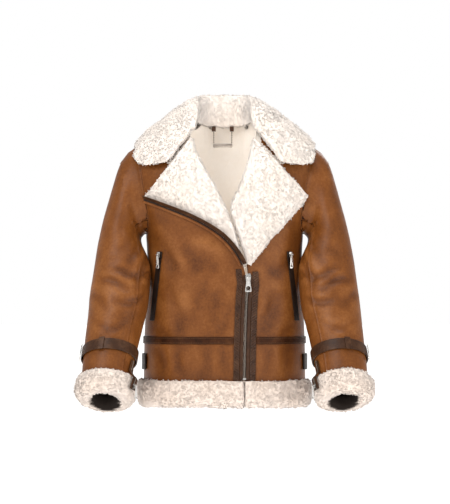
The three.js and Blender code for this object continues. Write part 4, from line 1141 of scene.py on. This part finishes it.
line, outs, _ = strip_line("main_zip", 2)
zip_stop = lay_along(
    "main_zip_stop",
    small_part(STOP, 0.5, 2),
    line[:1] + outs[:1] * STOP_LIFT * MM + np.array([[0, 0, STOP_ABOVE_FOOT]]),
    np.array([[0.0, 0.0, 1.0]]),
    outs[:1],
    SILVER,
)
finish_piece(zip_stop, None)
print("stop at height", round(line[0, 2], 3), "m")

# %% [markdown]
# ## Gathered plackets
# Beside the front zip the leather is gathered: small slanting puckers, like the rungs of a
# ladder. The strip's solid is cut into many faces, and a wave that runs along it lifts and
# sinks them. The wave's phase wanders with a noise, so no two puckers are the same.

# %% Gather the plackets
PUCKER_PITCH = 5.8
PUCKER_HEIGHT = 1.6
PUCKER_SLANT = 0.7
LONG_EDGE = 0.0012
FRONT_LEAN = -0.5

for side, slant in (("right", 1), ("left", -1)):
    node = f"placket_{side}"
    placket = copy_of(node, node + "_gathered")
    apply_modifier(placket, "BEVEL", width=0.5 * MM, segments=2)
    apply_modifier(placket, "SUBSURF", subdivision_type="SIMPLE", levels=2, render_levels=2)
    form = bmesh.new()
    form.from_mesh(placket.data)
    long_edges = [
        edge
        for edge in form.edges
        if abs(edge.verts[0].co.z - edge.verts[1].co.z) > 0.7 * edge.calc_length() > LONG_EDGE
    ]
    bmesh.ops.subdivide_edges(form, edges=long_edges, cuts=3, use_grid_fill=True)
    form.to_mesh(placket.data)
    form.free()
    points, normals = read_points(placket)
    middle = points[:, 0].mean()
    drift = noise_at(points, 30) * 1.6
    along = points[:, 2] + slant * PUCKER_SLANT * (points[:, 0] - middle)
    waves = np.sin(2 * pi * along / (PUCKER_PITCH * MM) + drift)
    front = (normals[:, 1] < FRONT_LEAN).astype(float)
    lift = (waves * 0.5 + 0.2) * PUCKER_HEIGHT * MM * front
    write_points(placket, points + normals * lift[:, None])
    # Painted shade and highlight: the puckers' sunk parts are darker and their raised parts lighter
    write_attribute(placket, "fold", np.clip(waves * 0.8, -1, 1) * front)
    placket.data.materials.append(BROWN)
    smooth(placket, 40)
    finish_piece(placket, node)
    low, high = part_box(node)
    print(node, "gathered over", round(high.z - low.z, 3), "m")

# %% [markdown]
# ## Dark leather strips
# The strips that cover the seams are folded leather about 3 mm thick. Each is a copy of its
# solid with rounded edges, a finer mesh, and a low swell between its two stitched lines. The
# zip lips, the cuff pieces and the small tabs are made in the same way.

# %% Round the strips
PAIR = ("_right", "_left")
ALONE = ("",)
STRIPS = {
    # strip: sides, edge rounding in mm, smoothing steps, height of the swell in mm, leather
    "waist_strip": ((*PAIR, "_back"), 0.9, 2, 0.5, STRAP),
    "cuff_strap": (PAIR, 0.9, 2, 0.5, BROWN),
    "strap_keeper": (PAIR, 0.7, 1, 0.2, BROWN),
    "side_tab": (PAIR, 1.0, 2, 0.7, TAPE),
    "zip_lip": (PAIR, 0.8, 2, 0.4, BROWN),
    "lapel_band": (ALONE, 0.8, 2, 0.5, BROWN),
    "lapel_piping": (ALONE, 1.4, 2, 0.3, TAN),
    "cuff_lip_front": (PAIR, 0.7, 2, 0.2, BROWN),
    "cuff_lip_inner": (PAIR, 0.7, 2, 0.2, BROWN),
    "pocket_zip": (PAIR, 0.7, 2, 0.2, TAPE),
    "hanger_tab": (PAIR, 0.6, 1, 0.1, BROWN),
}


def round_strip(node, edge, steps, swell, material):
    strip = copy_of(node, node + "_strip")
    make_quads(50)
    apply_modifier(strip, "BEVEL", width=edge * MM, segments=2, angle_limit=radians(50))
    apply_modifier(strip, "SUBSURF", levels=steps, render_levels=steps)
    points, normals = read_points(strip)
    wander = noise_at(points, 55)
    write_points(strip, points + normals * (wander * swell * MM)[:, None])
    # Painted shade and highlight: the strip is darker where its swell dips and lighter where it
    # rises
    write_attribute(strip, "fold", np.clip(wander * 1.2, -1, 1))
    strip.data.materials.append(material)
    smooth(strip)
    finish_piece(strip, node)
    return strip


strips = {
    kind + side: round_strip(kind + side, *values)
    for kind, (sides, *values) in STRIPS.items()
    for side in sides
}
print(len(strips), "strips rounded")

# %% [markdown]
# ## Stitches
# A strip is held by two lines of waxed thread, 2.5 mm in from its long edges. A lockstitch shows
# as a short rounded bar that sinks at both ends, so each stitch here is a small bar 3.4 mm long,
# laid at a pitch of 5 mm along the strip's own line.

# %% Sew the waist strips
STITCH_PITCH = 5.0
STITCH_INSET = 2.5
STEP = 0.5
AXIS_Y = -0.03
FAR = 0.5
STITCH = (0.7, 3.4, 0.6)
STITCH_LIFT = 0.15


def edge_lines(piece, turns):
    """Rays from all round find the strip; its first and last hits give the two edges."""
    points, _ = read_points(piece)
    form = tree_of(piece)
    heights = np.arange(points[:, 2].min(), points[:, 2].max(), STEP * MM)
    inset = int(STITCH_INSET / STEP)
    lines = ([], [])
    for turn in turns:
        way = Vector((cos(turn), sin(turn), 0))
        starts = [Vector((0, AXIS_Y, height)) + way * FAR for height in heights]
        hits = [form.ray_cast(start, -way, FAR) for start in starts]
        hits = [hit for hit in hits if hit[0]]
        if len(hits) > 3 * inset:
            lines[0].append(hits[inset][:2])
            lines[1].append(hits[-1 - inset][:2])
    return lines


for side in ("right", "left", "back"):
    node = f"waist_strip_{side}"
    spots, runs, outs = [], [], []
    for line in edge_lines(strips[node], np.linspace(-pi / 2, 3 * pi / 2, 500)):
        here, out = spaced(
            np.array([hit[0] for hit in line]), STITCH_PITCH * MM, np.array([hit[1] for hit in line])
        )
        spots.append(here + out * STITCH_LIFT * MM)
        runs.append(np.gradient(here, axis=0))
        outs.append(out)
    parts = [np.concatenate(values) for values in (spots, runs, outs)]
    sewn = lay_along(node + "_stitches", small_part(STITCH, 0.2), *parts, THREAD)
    finish_piece(sewn, None)
    print(node, len(parts[0]), "stitches")

# %% [markdown]
# ## Metal parts
# Sliders, pull tabs, buckles and the hanger's chains and plate are cast or stamped, so no edge
# is sharp. Each is a copy of its solid with a small bevel, and rides on its solid's own body, so
# that a pull tab swings on its pin. The plate is bare.

# %% Finish the metal parts
METAL_EDGE = 0.35
METAL_TURN = 35
METAL_NODES = [name for name in frame["nodes"] if "slider" in name or "pull_tab" in name]
METAL_NODES += [name for name in frame["nodes"] if name.startswith(("strap_buckle", "hanger_c"))]
METAL_NODES += ["hanger_plate"]
for node in METAL_NODES:
    polished = copy_of(node, node + "_metal")
    limit = radians(METAL_TURN)
    apply_modifier(polished, "BEVEL", width=METAL_EDGE * MM, segments=2, angle_limit=limit)
    polished.data.materials.append(TEETH if node.startswith("hanger") else SILVER)
    smooth(polished, METAL_TURN)
    finish_piece(polished, node, frame["nodes"][node]["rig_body"])
print(len(METAL_NODES), "metal parts")
